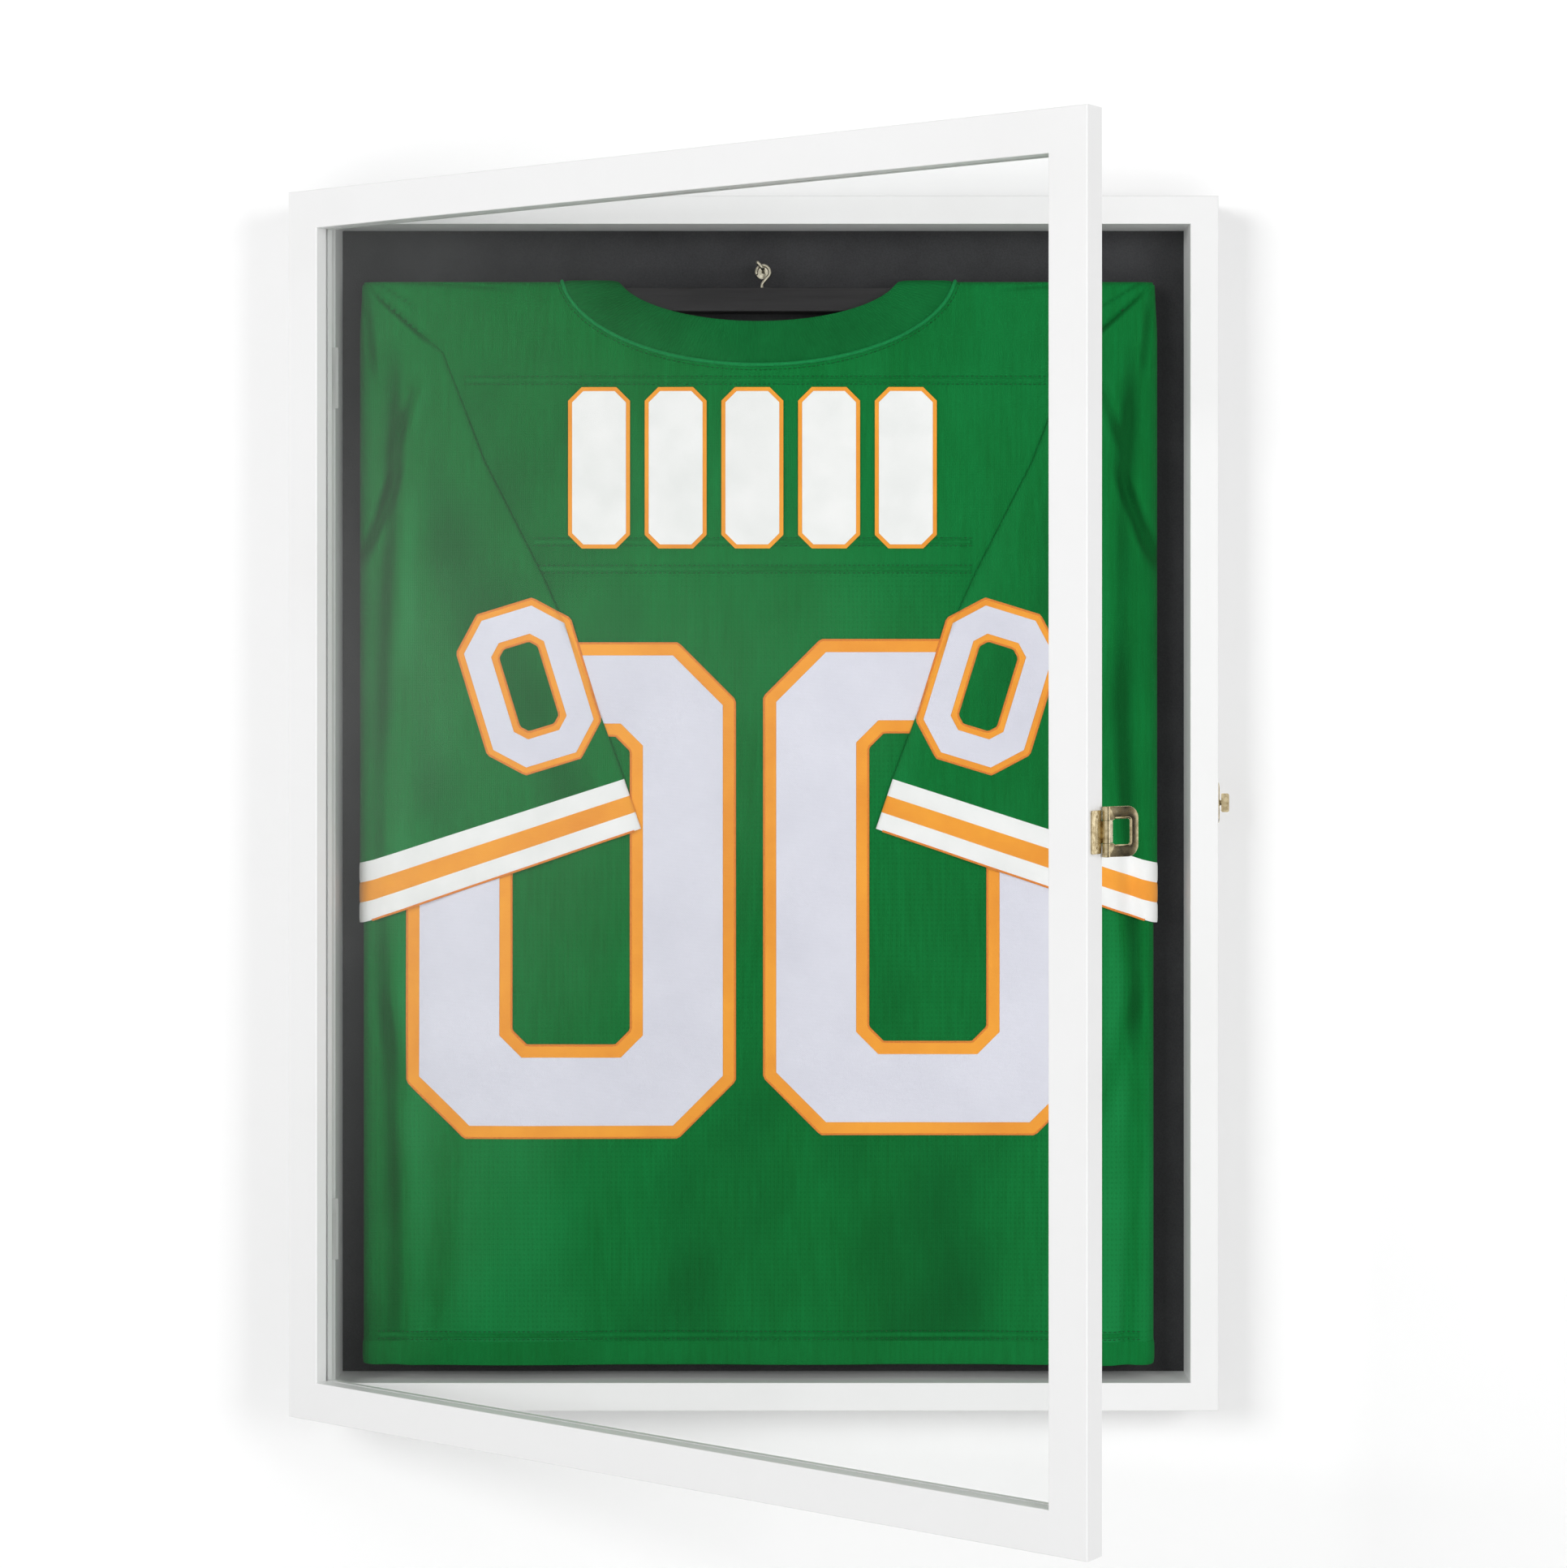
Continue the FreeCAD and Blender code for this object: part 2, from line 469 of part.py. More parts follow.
def catch_parts():
    """(plate, knob, screws, blanks) on the case's right side."""
    side = HALF_W
    half = CATCH_PLATE_HEIGHT / 2
    half_w = CATCH_PLATE_WIDTH / 2
    top = side + CATCH_PLATE_THICKNESS
    plate = plate_on_side(side, top, KNOB_AXIS_Y - half_w, KNOB_AXIS_Y + half_w, -half, half, half_w * 0.9)
    axis_point = V(top, KNOB_AXIS_Y, 0)
    seat = Part.makeCylinder(KNOB_SHAFT_RADIUS + PIN_CLEARANCE, CATCH_PLATE_THICKNESS + 2,
                             V(side - 1, KNOB_AXIS_Y, 0), RIGHT)
    pairs = [screw(V(top, KNOB_AXIS_Y, s * CATCH_SCREW_OFFSET), RIGHT, SMALL_SCREW) for s in (-1, 1)]
    plate = cut_all(plate.cut(seat), [b for _, b in pairs])
    blade_x0 = side + HASP_PLATE_STANDOFF + HASP_THICKNESS + KNOB_GAP
    shaft = Part.makeCylinder(KNOB_SHAFT_RADIUS, blade_x0 - side - PIN_CLEARANCE + 0.5,
                              V(side + PIN_CLEARANCE, KNOB_AXIS_Y, 0), RIGHT)
    dome_start = axis_point + V(PIN_CLEARANCE, 0, 0)
    dome = Part.makeCone(KNOB_DOME_RADIUS, KNOB_SHAFT_RADIUS, KNOB_DOME_HEIGHT, dome_start, RIGHT)
    h, t = KNOB_HEIGHT / 2, KNOB_THICKNESS / 2
    outline = [(V(blade_x0, KNOB_AXIS_Y - t, -h), 1.0), (V(blade_x0 + KNOB_REACH, KNOB_AXIS_Y - t, -h), 1.4),
               (V(blade_x0 + KNOB_REACH, KNOB_AXIS_Y - t, h), 1.4), (V(blade_x0, KNOB_AXIS_Y - t, h), 1.0)]
    blade = prism(outline, V(0, KNOB_THICKNESS, 0))
    knob = blade.fuse([shaft, dome]).removeSplitter()
    return plate, knob, [s for s, _ in pairs], [b for _, b in pairs]


# ---- hook, hanger and jersey ------------------------------------------------------------------
def case_hook():
    """(hook, nut, blank): a bent peg through the backing, with a flange in front and a nut behind."""
    front = BAR_Y - PEG_PAST_BAR
    end = V(0, BOARD_BACK + PEG_NUT_THICKNESS + 0.8, PEG_Z)
    tip_end = V(-PEG_TIP_LEAN, front, PEG_Z + PEG_TIP_HEIGHT)
    rod = wire_rod([end, V(0, front, PEG_Z), tip_end], [PEG_BEND_RADIUS], PEG_RADIUS)
    tip = Part.makeSphere(PEG_RADIUS, tip_end)
    flange = Part.makeCylinder(PEG_FLANGE_RADIUS, PEG_FLANGE_THICKNESS,
                               V(0, FELT_FRONT - PEG_FLANGE_THICKNESS, PEG_Z), BACK)
    hook = rod.fuse([tip, flange]).removeSplitter()
    across = PEG_NUT_WIDTH / 2 / math.cos(math.pi / 6)
    corners = [(V(across * math.cos(k * math.pi / 3), BOARD_BACK, PEG_Z + across * math.sin(k * math.pi / 3)), 0)
               for k in range(6)]
    bore = Part.makeCylinder(PEG_RADIUS, CASE_DEPTH, V(0, -CASE_DEPTH, PEG_Z), BACK)
    bore_long = Part.makeCylinder(PEG_RADIUS, CASE_DEPTH, V(0, FELT_FRONT, PEG_Z), BACK)
    nut = prism(corners, V(0, PEG_NUT_THICKNESS, 0)).cut(bore_long)
    return hook, nut, bore.fuse(bore_long)


def hanger_hook():
    """A question-mark hook of round wire, screwed into the top of the bar."""
    centre = V(0, BAR_Y, HOOK_LOOP_Z)

    def on_loop(degrees):
        angle = math.radians(degrees)
        return centre + V(HOOK_LOOP_RADIUS * math.cos(angle), 0, HOOK_LOOP_RADIUS * math.sin(angle))

    join = math.radians(HOOK_JOIN_ANGLE)
    tangent = V(-math.sin(join), 0, math.cos(join))
    joint_point = on_loop(HOOK_JOIN_ANGLE)
    run = (joint_point.x - HOOK_STEM_OFFSET) / tangent.x
    bend = joint_point - tangent * run
    foot = V(HOOK_STEM_OFFSET, BAR_Y, BAR_TOP - HOOK_STEM_DEPTH)
    half = (math.pi - UP.getAngle(tangent)) / 2
    pull = HOOK_BEND_RADIUS / math.tan(half)
    before, after = bend - UP * pull, bend + tangent * pull
    bisector = (tangent - UP).normalize()
    middle = bend + bisector * (HOOK_BEND_RADIUS / math.sin(half) - HOOK_BEND_RADIUS)
    turn = (HOOK_JOIN_ANGLE + HOOK_TAIL_ANGLE) / 2
    edges = [Part.LineSegment(foot, before).toShape(), Part.Arc(before, middle, after).toShape(),
             Part.LineSegment(after, joint_point).toShape(),
             Part.Arc(joint_point, on_loop(turn), on_loop(HOOK_TAIL_ANGLE)).toShape()]
    rod = sweep(edges, HOOK_WIRE_RADIUS)
    tip = Part.makeSphere(HOOK_WIRE_RADIUS, on_loop(HOOK_TAIL_ANGLE))
    return rod.fuse(tip).removeSplitter()


def hanger_bar(hook):
    half = JERSEY_HALF_W - JERSEY_CLOTH - BAR_END_INSET
    bar = block(-half, half, BAR_Y - BAR_SIZE / 2, BAR_Y + BAR_SIZE / 2, BAR_TOP - BAR_SIZE, BAR_TOP)
    long_edges = [e for e in bar.Edges if e.Length > BAR_SIZE * 2]
    return bar.makeFillet(BAR_ROUND, long_edges).cut(hook)


def half_ellipse_cutter(half_width, drop, y0, y1):
    """The lower half of an ellipse hung from the jersey's top edge, with a block above it."""
    left, right = V(-half_width, y0, JERSEY_TOP), V(half_width, y0, JERSEY_TOP)
    bottom = V(0, y0, JERSEY_TOP - drop)
    centre = V(0, y0, JERSEY_TOP)
    long_way, other = (right, bottom) if half_width >= drop else (bottom, right)
    curve = Part.Ellipse(long_way, other, centre)
    closed = Part.Wire([curve.toShape()])
    oval = Part.Face(closed).extrude(V(0, y1 - y0, 0))
    return oval


def jersey_panels():
    """The folded shirt as flat cloths round the bar: front, rear, shoulder folds and side folds."""
    half, c = JERSEY_HALF_W, JERSEY_CLOTH
    inside_front, inside_rear, inside_top = JERSEY_FRONT + c, JERSEY_REAR - c, JERSEY_TOP - c
    hem_rear = JERSEY_FRONT + JERSEY_BOTTOM_DEPTH
    neck = half_ellipse_cutter(COLLAR_HALF_WIDTH, COLLAR_DROP, JERSEY_FRONT - 1, JERSEY_REAR + 1)
    front = block(-half, half, JERSEY_FRONT, inside_front, JERSEY_BOTTOM, JERSEY_TOP)
    shoulders = block(-half, half, inside_front, JERSEY_REAR, inside_top, JERSEY_TOP)
    rear_outline = [(V(-half, inside_rear, inside_top), 0), (V(-half, JERSEY_REAR, inside_top), 0),
                    (V(-half, hem_rear, JERSEY_BOTTOM), 0), (V(-half, hem_rear - c, JERSEY_BOTTOM), 0)]
    side_outline = [(V(0, inside_front, JERSEY_BOTTOM), 0), (V(0, inside_front, inside_top), 0),
                    (V(0, inside_rear, inside_top), 0), (V(0, hem_rear - c, JERSEY_BOTTOM), 0)]
    folds = [prism(side_outline, V(c, 0, 0)) for _ in range(2)]
    folds[0].translate(V(-half, 0, 0))
    folds[1].translate(V(half - c, 0, 0))
    return {"jersey_front_panel": front.cut(neck), "jersey_shoulders": shoulders.cut(neck),
            "jersey_rear_panel": prism(rear_outline, V(2 * half, 0, 0)).cut(neck),
            "jersey_side_folds": group(folds)}


def jersey_collar():
    """The ribbed neckband, level with the front wall of the shirt."""
    y1 = JERSEY_FRONT + JERSEY_CLOTH
    band = half_ellipse_cutter(COLLAR_HALF_WIDTH, COLLAR_DROP, JERSEY_FRONT, y1)
    band = band.cut(half_ellipse_cutter(NECK_HALF_WIDTH, NECK_DROP, JERSEY_FRONT - 1, y1 + 1))
    above = block(-HALF_W, HALF_W, JERSEY_FRONT - 1, y1 + 1, JERSEY_TOP, JERSEY_TOP + HALF_H)
    return band.cut(above)


def jersey_sleeve(sign):
    """A folded sleeve laid over the front; sign is -1 for the left of the case."""
    y0 = JERSEY_FRONT - SLEEVE_LAY_GAP - SLEEVE_THICKNESS

    def spot(across, down):
        return V(sign * (JERSEY_HALF_W - across), y0, JERSEY_TOP - down)

    corners = [SLEEVE_SHOULDER, SLEEVE_SEAM_BEND, SLEEVE_EDGE_MIDDLE, SLEEVE_CUFF_TOP, SLEEVE_CUFF_TIP,
               (0.0, SLEEVE_CUFF_OUTER_DROP), (0.0, SLEEVE_SHOULDER[1])]
    return prism([(spot(*c), 0) for c in corners], V(0, SLEEVE_THICKNESS, 0))


# ---- assembly ---------------------------------------------------------------------------------
def build():
    """Every node's shape by name, with the door swung open and the origin in its place."""
    nodes, door_nodes = {}, set()

    case_section = [((0, CASE_FRONT), EDGE_ROUND), ((CASE_RAIL_WIDTH, CASE_FRONT), EDGE_ROUND),
                    ((CASE_RAIL_WIDTH, FELT_FRONT), 0), ((RABBET_WALL, FELT_FRONT), 0),
                    ((RABBET_WALL, 0), 0), ((0, 0), 0)]
    door_section = [((0, DOOR_FRONT), EDGE_ROUND), ((DOOR_RAIL_WIDTH, DOOR_FRONT), EDGE_ROUND),
                    ((DOOR_RAIL_WIDTH, PANE_FRONT), 0), ((DOOR_RABBET_WALL, PANE_FRONT), 0),
                    ((DOOR_RABBET_WALL, DOOR_BACK), 0), ((0, DOOR_BACK), 0)]

    case_nails = v_nails(RABBET_WALL, 0, -1)
    door_nails = v_nails(DOOR_RABBET_WALL, DOOR_BACK, -1)
    points = backing_points()
    case_cuts, door_cuts = case_nails + points, list(door_nails)

    keyhole_screws, hinge_case_screws, hinge_door_screws = [], [], []
    for name, sign in (("left", -1), ("right", 1)):
        plate, pocket, screws, blanks = keyhole_plate(sign)
        nodes["wall_keyhole_" + name] = plate
        keyhole_screws += screws
        case_cuts += [pocket] + blanks
    for name, z in HINGE_PLACES.items():
        case_leaf, door_leaf, pin, mortises, (case_pairs, door_pairs) = hinge(z)
        nodes["hinge_" + name + "_case_leaf"] = case_leaf
        nodes["hinge_" + name + "_pin"] = pin
        nodes["hinge_" + name + "_door_leaf"] = door_leaf
        door_nodes.add("hinge_" + name + "_door_leaf")
        hinge_case_screws += [s for s, _ in case_pairs]
        hinge_door_screws += [s for s, _ in door_pairs]
        case_cuts += [mortises[0]] + [b for _, b in case_pairs]
        door_cuts += [mortises[1]] + [b for _, b in door_pairs]

    base, hasp_pin, loop, hasp_screws, hasp_blanks = hasp_parts()
    door_cuts += hasp_blanks
    catch_plate, knob, catch_screws, catch_blanks = catch_parts()
    case_cuts += catch_blanks

    for side, word in SIDES.items():
        rail = mitred_side(CASE_WIDTH, CASE_HEIGHT, case_section, side)
        nodes["case_" + word] = cut_all(rail, case_cuts)
        rail = mitred_side(CASE_WIDTH, CASE_HEIGHT, door_section, side)
        nodes["door_" + word] = cut_all(rail, door_cuts)
        bead_section = [((0, PANE_BACK), 0), ((DOOR_RABBET, PANE_BACK), 0),
                        ((DOOR_RABBET, PANE_BACK + BEAD_THICKNESS), 1.2), ((0, PANE_BACK + BEAD_THICKNESS), 0)]
        bead_w, bead_h = CASE_WIDTH - 2 * DOOR_RABBET_WALL, CASE_HEIGHT - 2 * DOOR_RABBET_WALL
        nodes["pane_bead_" + side] = mitred_side(bead_w, bead_h, bead_section, side)
        door_nodes.update({"door_" + word, "pane_bead_" + side})

    half_x, half_z = HALF_W - RABBET_WALL - BACKING_CLEARANCE, HALF_H - RABBET_WALL - BACKING_CLEARANCE
    hook, nut, hook_bore = case_hook()
    nodes["backing_felt"] = block(-half_x, half_x, FELT_FRONT, BOARD_FRONT, -half_z, half_z).cut(hook_bore)
    nodes["backing_board"] = block(-half_x, half_x, BOARD_FRONT, BOARD_BACK, -half_z, half_z).cut(hook_bore)
    nodes["backing_points"] = group(points)
    nodes["case_corner_nails"] = group(case_nails)
    nodes["keyhole_screws"] = group(keyhole_screws)
    nodes["hinge_case_screws"] = group(hinge_case_screws)
    nodes["case_hook"] = hook
    nodes["case_hook_nut"] = nut
    nodes["catch_plate"] = catch_plate
    nodes["catch_screws"] = group(catch_screws)
    nodes["catch_knob"] = knob

    pane_x = HALF_W - DOOR_RABBET_WALL - PANE_CLEARANCE
    pane_z = HALF_H - DOOR_RABBET_WALL - PANE_CLEARANCE
    nodes["door_pane"] = block(-pane_x, pane_x, PANE_FRONT, PANE_BACK, -pane_z, pane_z)
    nodes["door_corner_nails"] = group(door_nails)
    nodes["hinge_door_screws"] = group(hinge_door_screws)
    nodes["hasp_base"] = base
    nodes["hasp_pin"] = hasp_pin
    nodes["hasp_screws"] = group(hasp_screws)
    loop.rotate(HASP_PIN, UP, -HASP_OPEN_ANGLE)
    nodes["hasp_loop"] = loop
    door_nodes.update({"door_pane", "door_corner_nails", "hinge_door_screws", "hasp_base", "hasp_pin",
                       "hasp_screws", "hasp_loop"})

    wire = hanger_hook()
    nodes["hanger_hook"] = wire
    nodes["hanger_bar"] = hanger_bar(wire)
    jersey = jersey_panels()
    jersey["jersey_collar"] = jersey_collar()
    jersey["jersey_sleeve_left"] = jersey_sleeve(-1)
    jersey["jersey_sleeve_right"] = jersey_sleeve(1)
    for shape in jersey.values():
        shape.translate(V(JERSEY_OFFSET, 0, 0))
    nodes.update(jersey)

    for name in door_nodes:
        nodes[name].rotate(HINGE_PIN, UP, -DOOR_OPEN_ANGLE)
    for shape in nodes.values():
        shape.translate(-KEYHOLE_MIDDLE)
    return nodes


def main():
    os.makedirs("parts", exist_ok=True)
    for name, shape in build().items():
        if not shape.Solids or not shape.isValid() or min(s.Volume for s in shape.Solids) <= 0:
            raise RuntimeError(name + " is not a closed solid")
        shape.exportStep("parts/" + name + ".step")
        print(name, len(shape.Solids), round(shape.Volume))


main()
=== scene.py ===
"""A wall-hung jersey display case: white lacquered frame, clear door, brass turn catch, felt back and a
jersey hung on a black rod. The sections follow the case as it is put together, from the wall out."""
import json
import math

import bpy
import numpy as np
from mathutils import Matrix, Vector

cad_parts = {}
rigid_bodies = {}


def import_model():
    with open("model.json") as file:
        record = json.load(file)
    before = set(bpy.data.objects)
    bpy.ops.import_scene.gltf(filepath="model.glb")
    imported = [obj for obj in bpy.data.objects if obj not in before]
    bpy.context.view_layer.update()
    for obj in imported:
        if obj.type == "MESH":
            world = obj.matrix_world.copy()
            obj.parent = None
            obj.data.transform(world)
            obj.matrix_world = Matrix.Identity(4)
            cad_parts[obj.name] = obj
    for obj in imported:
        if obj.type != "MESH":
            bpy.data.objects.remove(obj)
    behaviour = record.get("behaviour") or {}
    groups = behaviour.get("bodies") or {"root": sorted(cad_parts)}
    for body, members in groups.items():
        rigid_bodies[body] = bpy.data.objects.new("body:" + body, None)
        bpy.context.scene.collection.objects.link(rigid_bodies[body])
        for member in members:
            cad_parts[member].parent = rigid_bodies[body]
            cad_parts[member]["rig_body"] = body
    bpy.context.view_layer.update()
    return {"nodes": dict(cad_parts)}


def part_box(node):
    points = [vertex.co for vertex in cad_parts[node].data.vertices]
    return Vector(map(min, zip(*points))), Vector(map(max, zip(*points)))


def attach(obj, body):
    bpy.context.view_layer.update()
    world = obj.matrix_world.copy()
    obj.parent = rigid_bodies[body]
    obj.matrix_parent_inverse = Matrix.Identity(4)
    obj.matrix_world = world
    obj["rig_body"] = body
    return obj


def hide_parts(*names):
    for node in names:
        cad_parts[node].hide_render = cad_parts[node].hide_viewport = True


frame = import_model()
nodes = frame["nodes"]
MM = 0.001

# ---- The room ---------------------------------------------------------------------------------
# A pale floor and a pale wall that the case hangs on. Neither is part of the case. The wall is
# clear from behind and blocks no light, so the back of the case can be looked at.
FLOOR_DROP = 0.28            # floor below the case
WALL_GAP = 0.001             # wall behind the case
ROOM_SIZE = 9.0


def add(tree, kind, settings=None, **inputs):
    """A shader node. Its inputs are given by name, or as in0, in1 by place, as values or as sockets."""
    made = tree.nodes.new("ShaderNode" + kind)
    for key, value in (settings or {}).items():
        setattr(made, key, value)
    for key, value in inputs.items():
        by_place = key.startswith("in") and key[2:].isdigit()
        socket = made.inputs[int(key[2:])] if by_place else made.inputs[key.replace("_", " ")]
        if isinstance(value, bpy.types.NodeSocket):
            tree.links.new(value, socket)
        else:
            socket.default_value = value
    return made


def new_material(name, **values):
    """(material, tree, its Principled node), with that node's sockets set by name."""
    made = bpy.data.materials.new(name)
    made.use_nodes = True
    body = made.node_tree.nodes["Principled BSDF"]
    for key, value in values.items():
        body.inputs[key.replace("_", " ")].default_value = value
    return made, made.node_tree, body


def sums(tree, operation, first, second=0.0, third=0.0):
    """A Math node's answer, from values or sockets."""
    return add(tree, "Math", {"operation": operation}, in0=first, in1=second, in2=third).outputs[0]


def mixed(tree, share, first, second):
    """A colour between two colours or colour sockets."""
    blend = add(tree, "Mix", {"data_type": "RGBA"}, in0=share)
    for place, value in ((6, first), (7, second)):
        if isinstance(value, bpy.types.NodeSocket):
            tree.links.new(value, blend.inputs[place])
        else:
            blend.inputs[place].default_value = value
    return blend.outputs[2]


def clamped(tree, value, low, high, to_low=0.0, to_high=1.0):
    """value moved from one range to another, and held inside it."""
    spread = add(tree, "MapRange", in0=value, in1=low, in2=high, in3=to_low, in4=to_high)
    return spread.outputs[0]


def object_place(tree, stretch=(1, 1, 1)):
    """Object coordinates, scaled along each axis."""
    place = add(tree, "TexCoord").outputs["Object"]
    return add(tree, "Mapping", Vector=place, Scale=stretch).outputs[0]


def noise(tree, vector, scale, detail=3.0, rough=0.5):
    """A cloud of values about 0.5, with that many waves to a metre."""
    return add(tree, "TexNoise", Vector=vector, Scale=scale, Detail=detail, Roughness=rough).outputs[0]


def bumped(tree, body, height, depth, strength=1.0, under=None):
    """Gives the surface a relief of that depth in metres, over another relief if there is one."""
    relief = add(tree, "Bump", Strength=strength, Distance=depth, Height=height)
    if under is not None:
        tree.links.new(under.outputs[0], relief.inputs["Normal"])
    tree.links.new(relief.outputs[0], body.inputs["Normal"])
    return relief


def mesh_object(name, points, faces, material, smooth=True):
    """A mesh from an array of points and a list of face arrays, linked to the scene."""
    shape = bpy.data.meshes.new(name)
    shape.from_pydata(points.reshape(-1, 3).tolist(), [], [f for a in faces for f in a.tolist()])
    shape.polygons.foreach_set("use_smooth", np.full(len(shape.polygons), smooth))
    made = bpy.data.objects.new(name, shape)
    bpy.context.scene.collection.objects.link(made)
    if material is not None:
        made.data.materials.append(material)
    return made


case_lo = np.array(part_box("case_bottom_rail")[0])
paper, tree, body = new_material("studio_paper", Base_Color=(0.94, 0.94, 0.94, 1), Roughness=0.9)
half = ROOM_SIZE / 2
floor_z = case_lo[2] - FLOOR_DROP
ONE_FACE = [np.array([[0, 1, 2, 3]])]
square = np.array([(-half, -half, floor_z), (half, -half, floor_z),
                   (half, half, floor_z), (-half, half, floor_z)])
floor = mesh_object("studio_floor", square, ONE_FACE, paper, False)
floor.visible_glossy = False

wall_paint, tree, body = new_material("studio_wall", Base_Color=(0.97, 0.97, 0.97, 1), Roughness=1.0)
behind = add(tree, "NewGeometry").outputs["Backfacing"]
see_through = add(tree, "BsdfTransparent").outputs[0]
shown = add(tree, "MixShader", in0=behind, in1=body.outputs[0], in2=see_through).outputs[0]
tree.links.new(shown, tree.nodes["Material Output"].inputs["Surface"])
square = np.array([(-half, WALL_GAP, floor_z), (half, WALL_GAP, floor_z),
                   (half, WALL_GAP, floor_z + ROOM_SIZE), (-half, WALL_GAP, floor_z + ROOM_SIZE)])
wall = mesh_object("studio_backdrop", square, ONE_FACE, wall_paint, False)
wall.visible_shadow = False
wall.visible_diffuse = False
wall.visible_glossy = False

# ---- Light and camera -------------------------------------------------------------------------
# Even white light all round, and soft lamps at both sides that give the wood and cloth their form.
# What polished faces see is a room that is pale ahead and at the sides and grey between.
SKY_STRENGTH = 0.40
LAMPS = (("key_lamp", (-2.0, -2.75, 0.50), 1.5, 54.0),      # name, place, width, watts
         ("fill_lamp", (2.05, -2.75, 0.10), 1.5, 40.5))
LAMP_TARGET = (0.0, -0.10, -0.32)
EYE = (0.0136, -2.2102, -0.2276)
LENS = 75.57                 # millimetres, on a sensor SENSOR_HEIGHT tall
SENSOR_HEIGHT = 36.0
FRAME_SHIFT = -0.082

sky = bpy.data.worlds.new("studio_light")
sky.use_nodes = True
tree = sky.node_tree
toward = add(tree, "SeparateXYZ", Vector=add(tree, "TexCoord").outputs["Generated"])
level = sums(tree, "MULTIPLY", sums(tree, "ABSOLUTE", toward.outputs["Z"]), 0.8)
aside = sums(tree, "SUBTRACT", toward.outputs["Y"], level)
side_glow = clamped(tree, aside, -0.40, -0.14, 0.02, 1.45)
front_glow = clamped(tree, toward.outputs["Y"], -0.55, -0.80, 0.03, 0.95)
top_glow = clamped(tree, toward.outputs["Z"], 0.3, 0.8)
seen = sums(tree, "MAXIMUM", sums(tree, "MAXIMUM", side_glow, front_glow), top_glow)
glossy = add(tree, "LightPath").outputs["Is Glossy Ray"]
plain = add(tree, "Mix", {"data_type": "FLOAT"}, in0=glossy, in2=SKY_STRENGTH, in3=seen).outputs[0]
tree.links.new(plain, tree.nodes["Background"].inputs["Strength"])
tree.nodes["Background"].inputs["Color"].default_value = (1, 1, 1, 1)
bpy.context.scene.world = sky
bpy.context.scene.view_settings.view_transform = "Standard"

for name, place, size, power in LAMPS:
    lamp = bpy.data.lights.new(name, "AREA")
    lamp.size = size
    lamp.energy = power
    lamp_object = bpy.data.objects.new(name, lamp)
    lamp_object.location = place
    aim = np.array(LAMP_TARGET) - np.array(place)
    lamp_object.rotation_euler = (math.acos(-aim[2] / np.linalg.norm(aim)), 0, math.atan2(-aim[0], aim[1]))
    lamp_object.visible_glossy = False
    bpy.context.scene.collection.objects.link(lamp_object)

camera = bpy.data.cameras.new("camera")
camera.sensor_fit = "VERTICAL"
camera.sensor_height = SENSOR_HEIGHT
camera.lens = LENS
camera.shift_y = FRAME_SHIFT
camera.clip_start = 0.05
camera_object = bpy.data.objects.new("camera", camera)
camera_object.location = EYE
camera_object.rotation_euler = (math.pi / 2, 0, 0)
bpy.context.scene.collection.objects.link(camera_object)
bpy.context.scene.camera = camera_object

# ---- Case and door rails, and pane beads ------------------------------------------------------
# Planed poplar, mitred, nailed and sprayed with white satin lacquer. The grain just shows through
# the spray, which has a faint orange-peel skin and picks up a little dust.
LACQUER = (0.835, 0.835, 0.835, 1)
LACQUER_DUST = (0.75, 0.745, 0.735, 1)
GRAIN_STRETCH = 34.0


def lacquer(name, grain):
    """White lacquer over wood whose grain runs along that axis, 0 for X and 2 for Z."""
    made, tree, body = new_material(name, Roughness=0.34, Coat_Weight=0.15, Coat_Roughness=0.22)
    stretch = [GRAIN_STRETCH] * 3
    stretch[grain] = 1.0
    place = object_place(tree)
    along = object_place(tree, stretch)
    pores = noise(tree, along, 11.0, 5.0, 0.62)
    skin = noise(tree, place, 420.0, 1.0)
    cloud = noise(tree, place, 7.0, 3.0)
    dust = sums(tree, "MULTIPLY", clamped(tree, cloud, 0.52, 0.78), 0.30)
    line = sums(tree, "MULTIPLY", clamped(tree, pores, 0.60, 0.76), 0.10)
    tree.links.new(mixed(tree, sums(tree, "ADD", dust, line), LACQUER, LACQUER_DUST),
                   body.inputs["Base Color"])
    tree.links.new(clamped(tree, cloud, 0.3, 0.7, 0.30, 0.42), body.inputs["Roughness"])
    peel = bumped(tree, body, skin, 0.00005, 0.35)
    bumped(tree, body, pores, 0.00008, 0.35, peel)
    return made


lacquer_across = lacquer("white_lacquer_across", 0)
lacquer_upright = lacquer("white_lacquer_upright", 2)


def finish_nodes(names, material):
    """Gives CAD nodes their finish."""
    for node_name in names:
        piece = nodes[node_name]
        piece.data.materials.clear()
        piece.data.materials.append(material)


finish_nodes(["case_top_rail", "case_bottom_rail", "door_top_rail", "door_bottom_rail",
              "pane_bead_top", "pane_bead_bottom"], lacquer_across)
finish_nodes(["case_left_stile", "case_right_stile", "door_left_stile", "door_right_stile",
              "pane_bead_left", "pane_bead_right"], lacquer_upright)

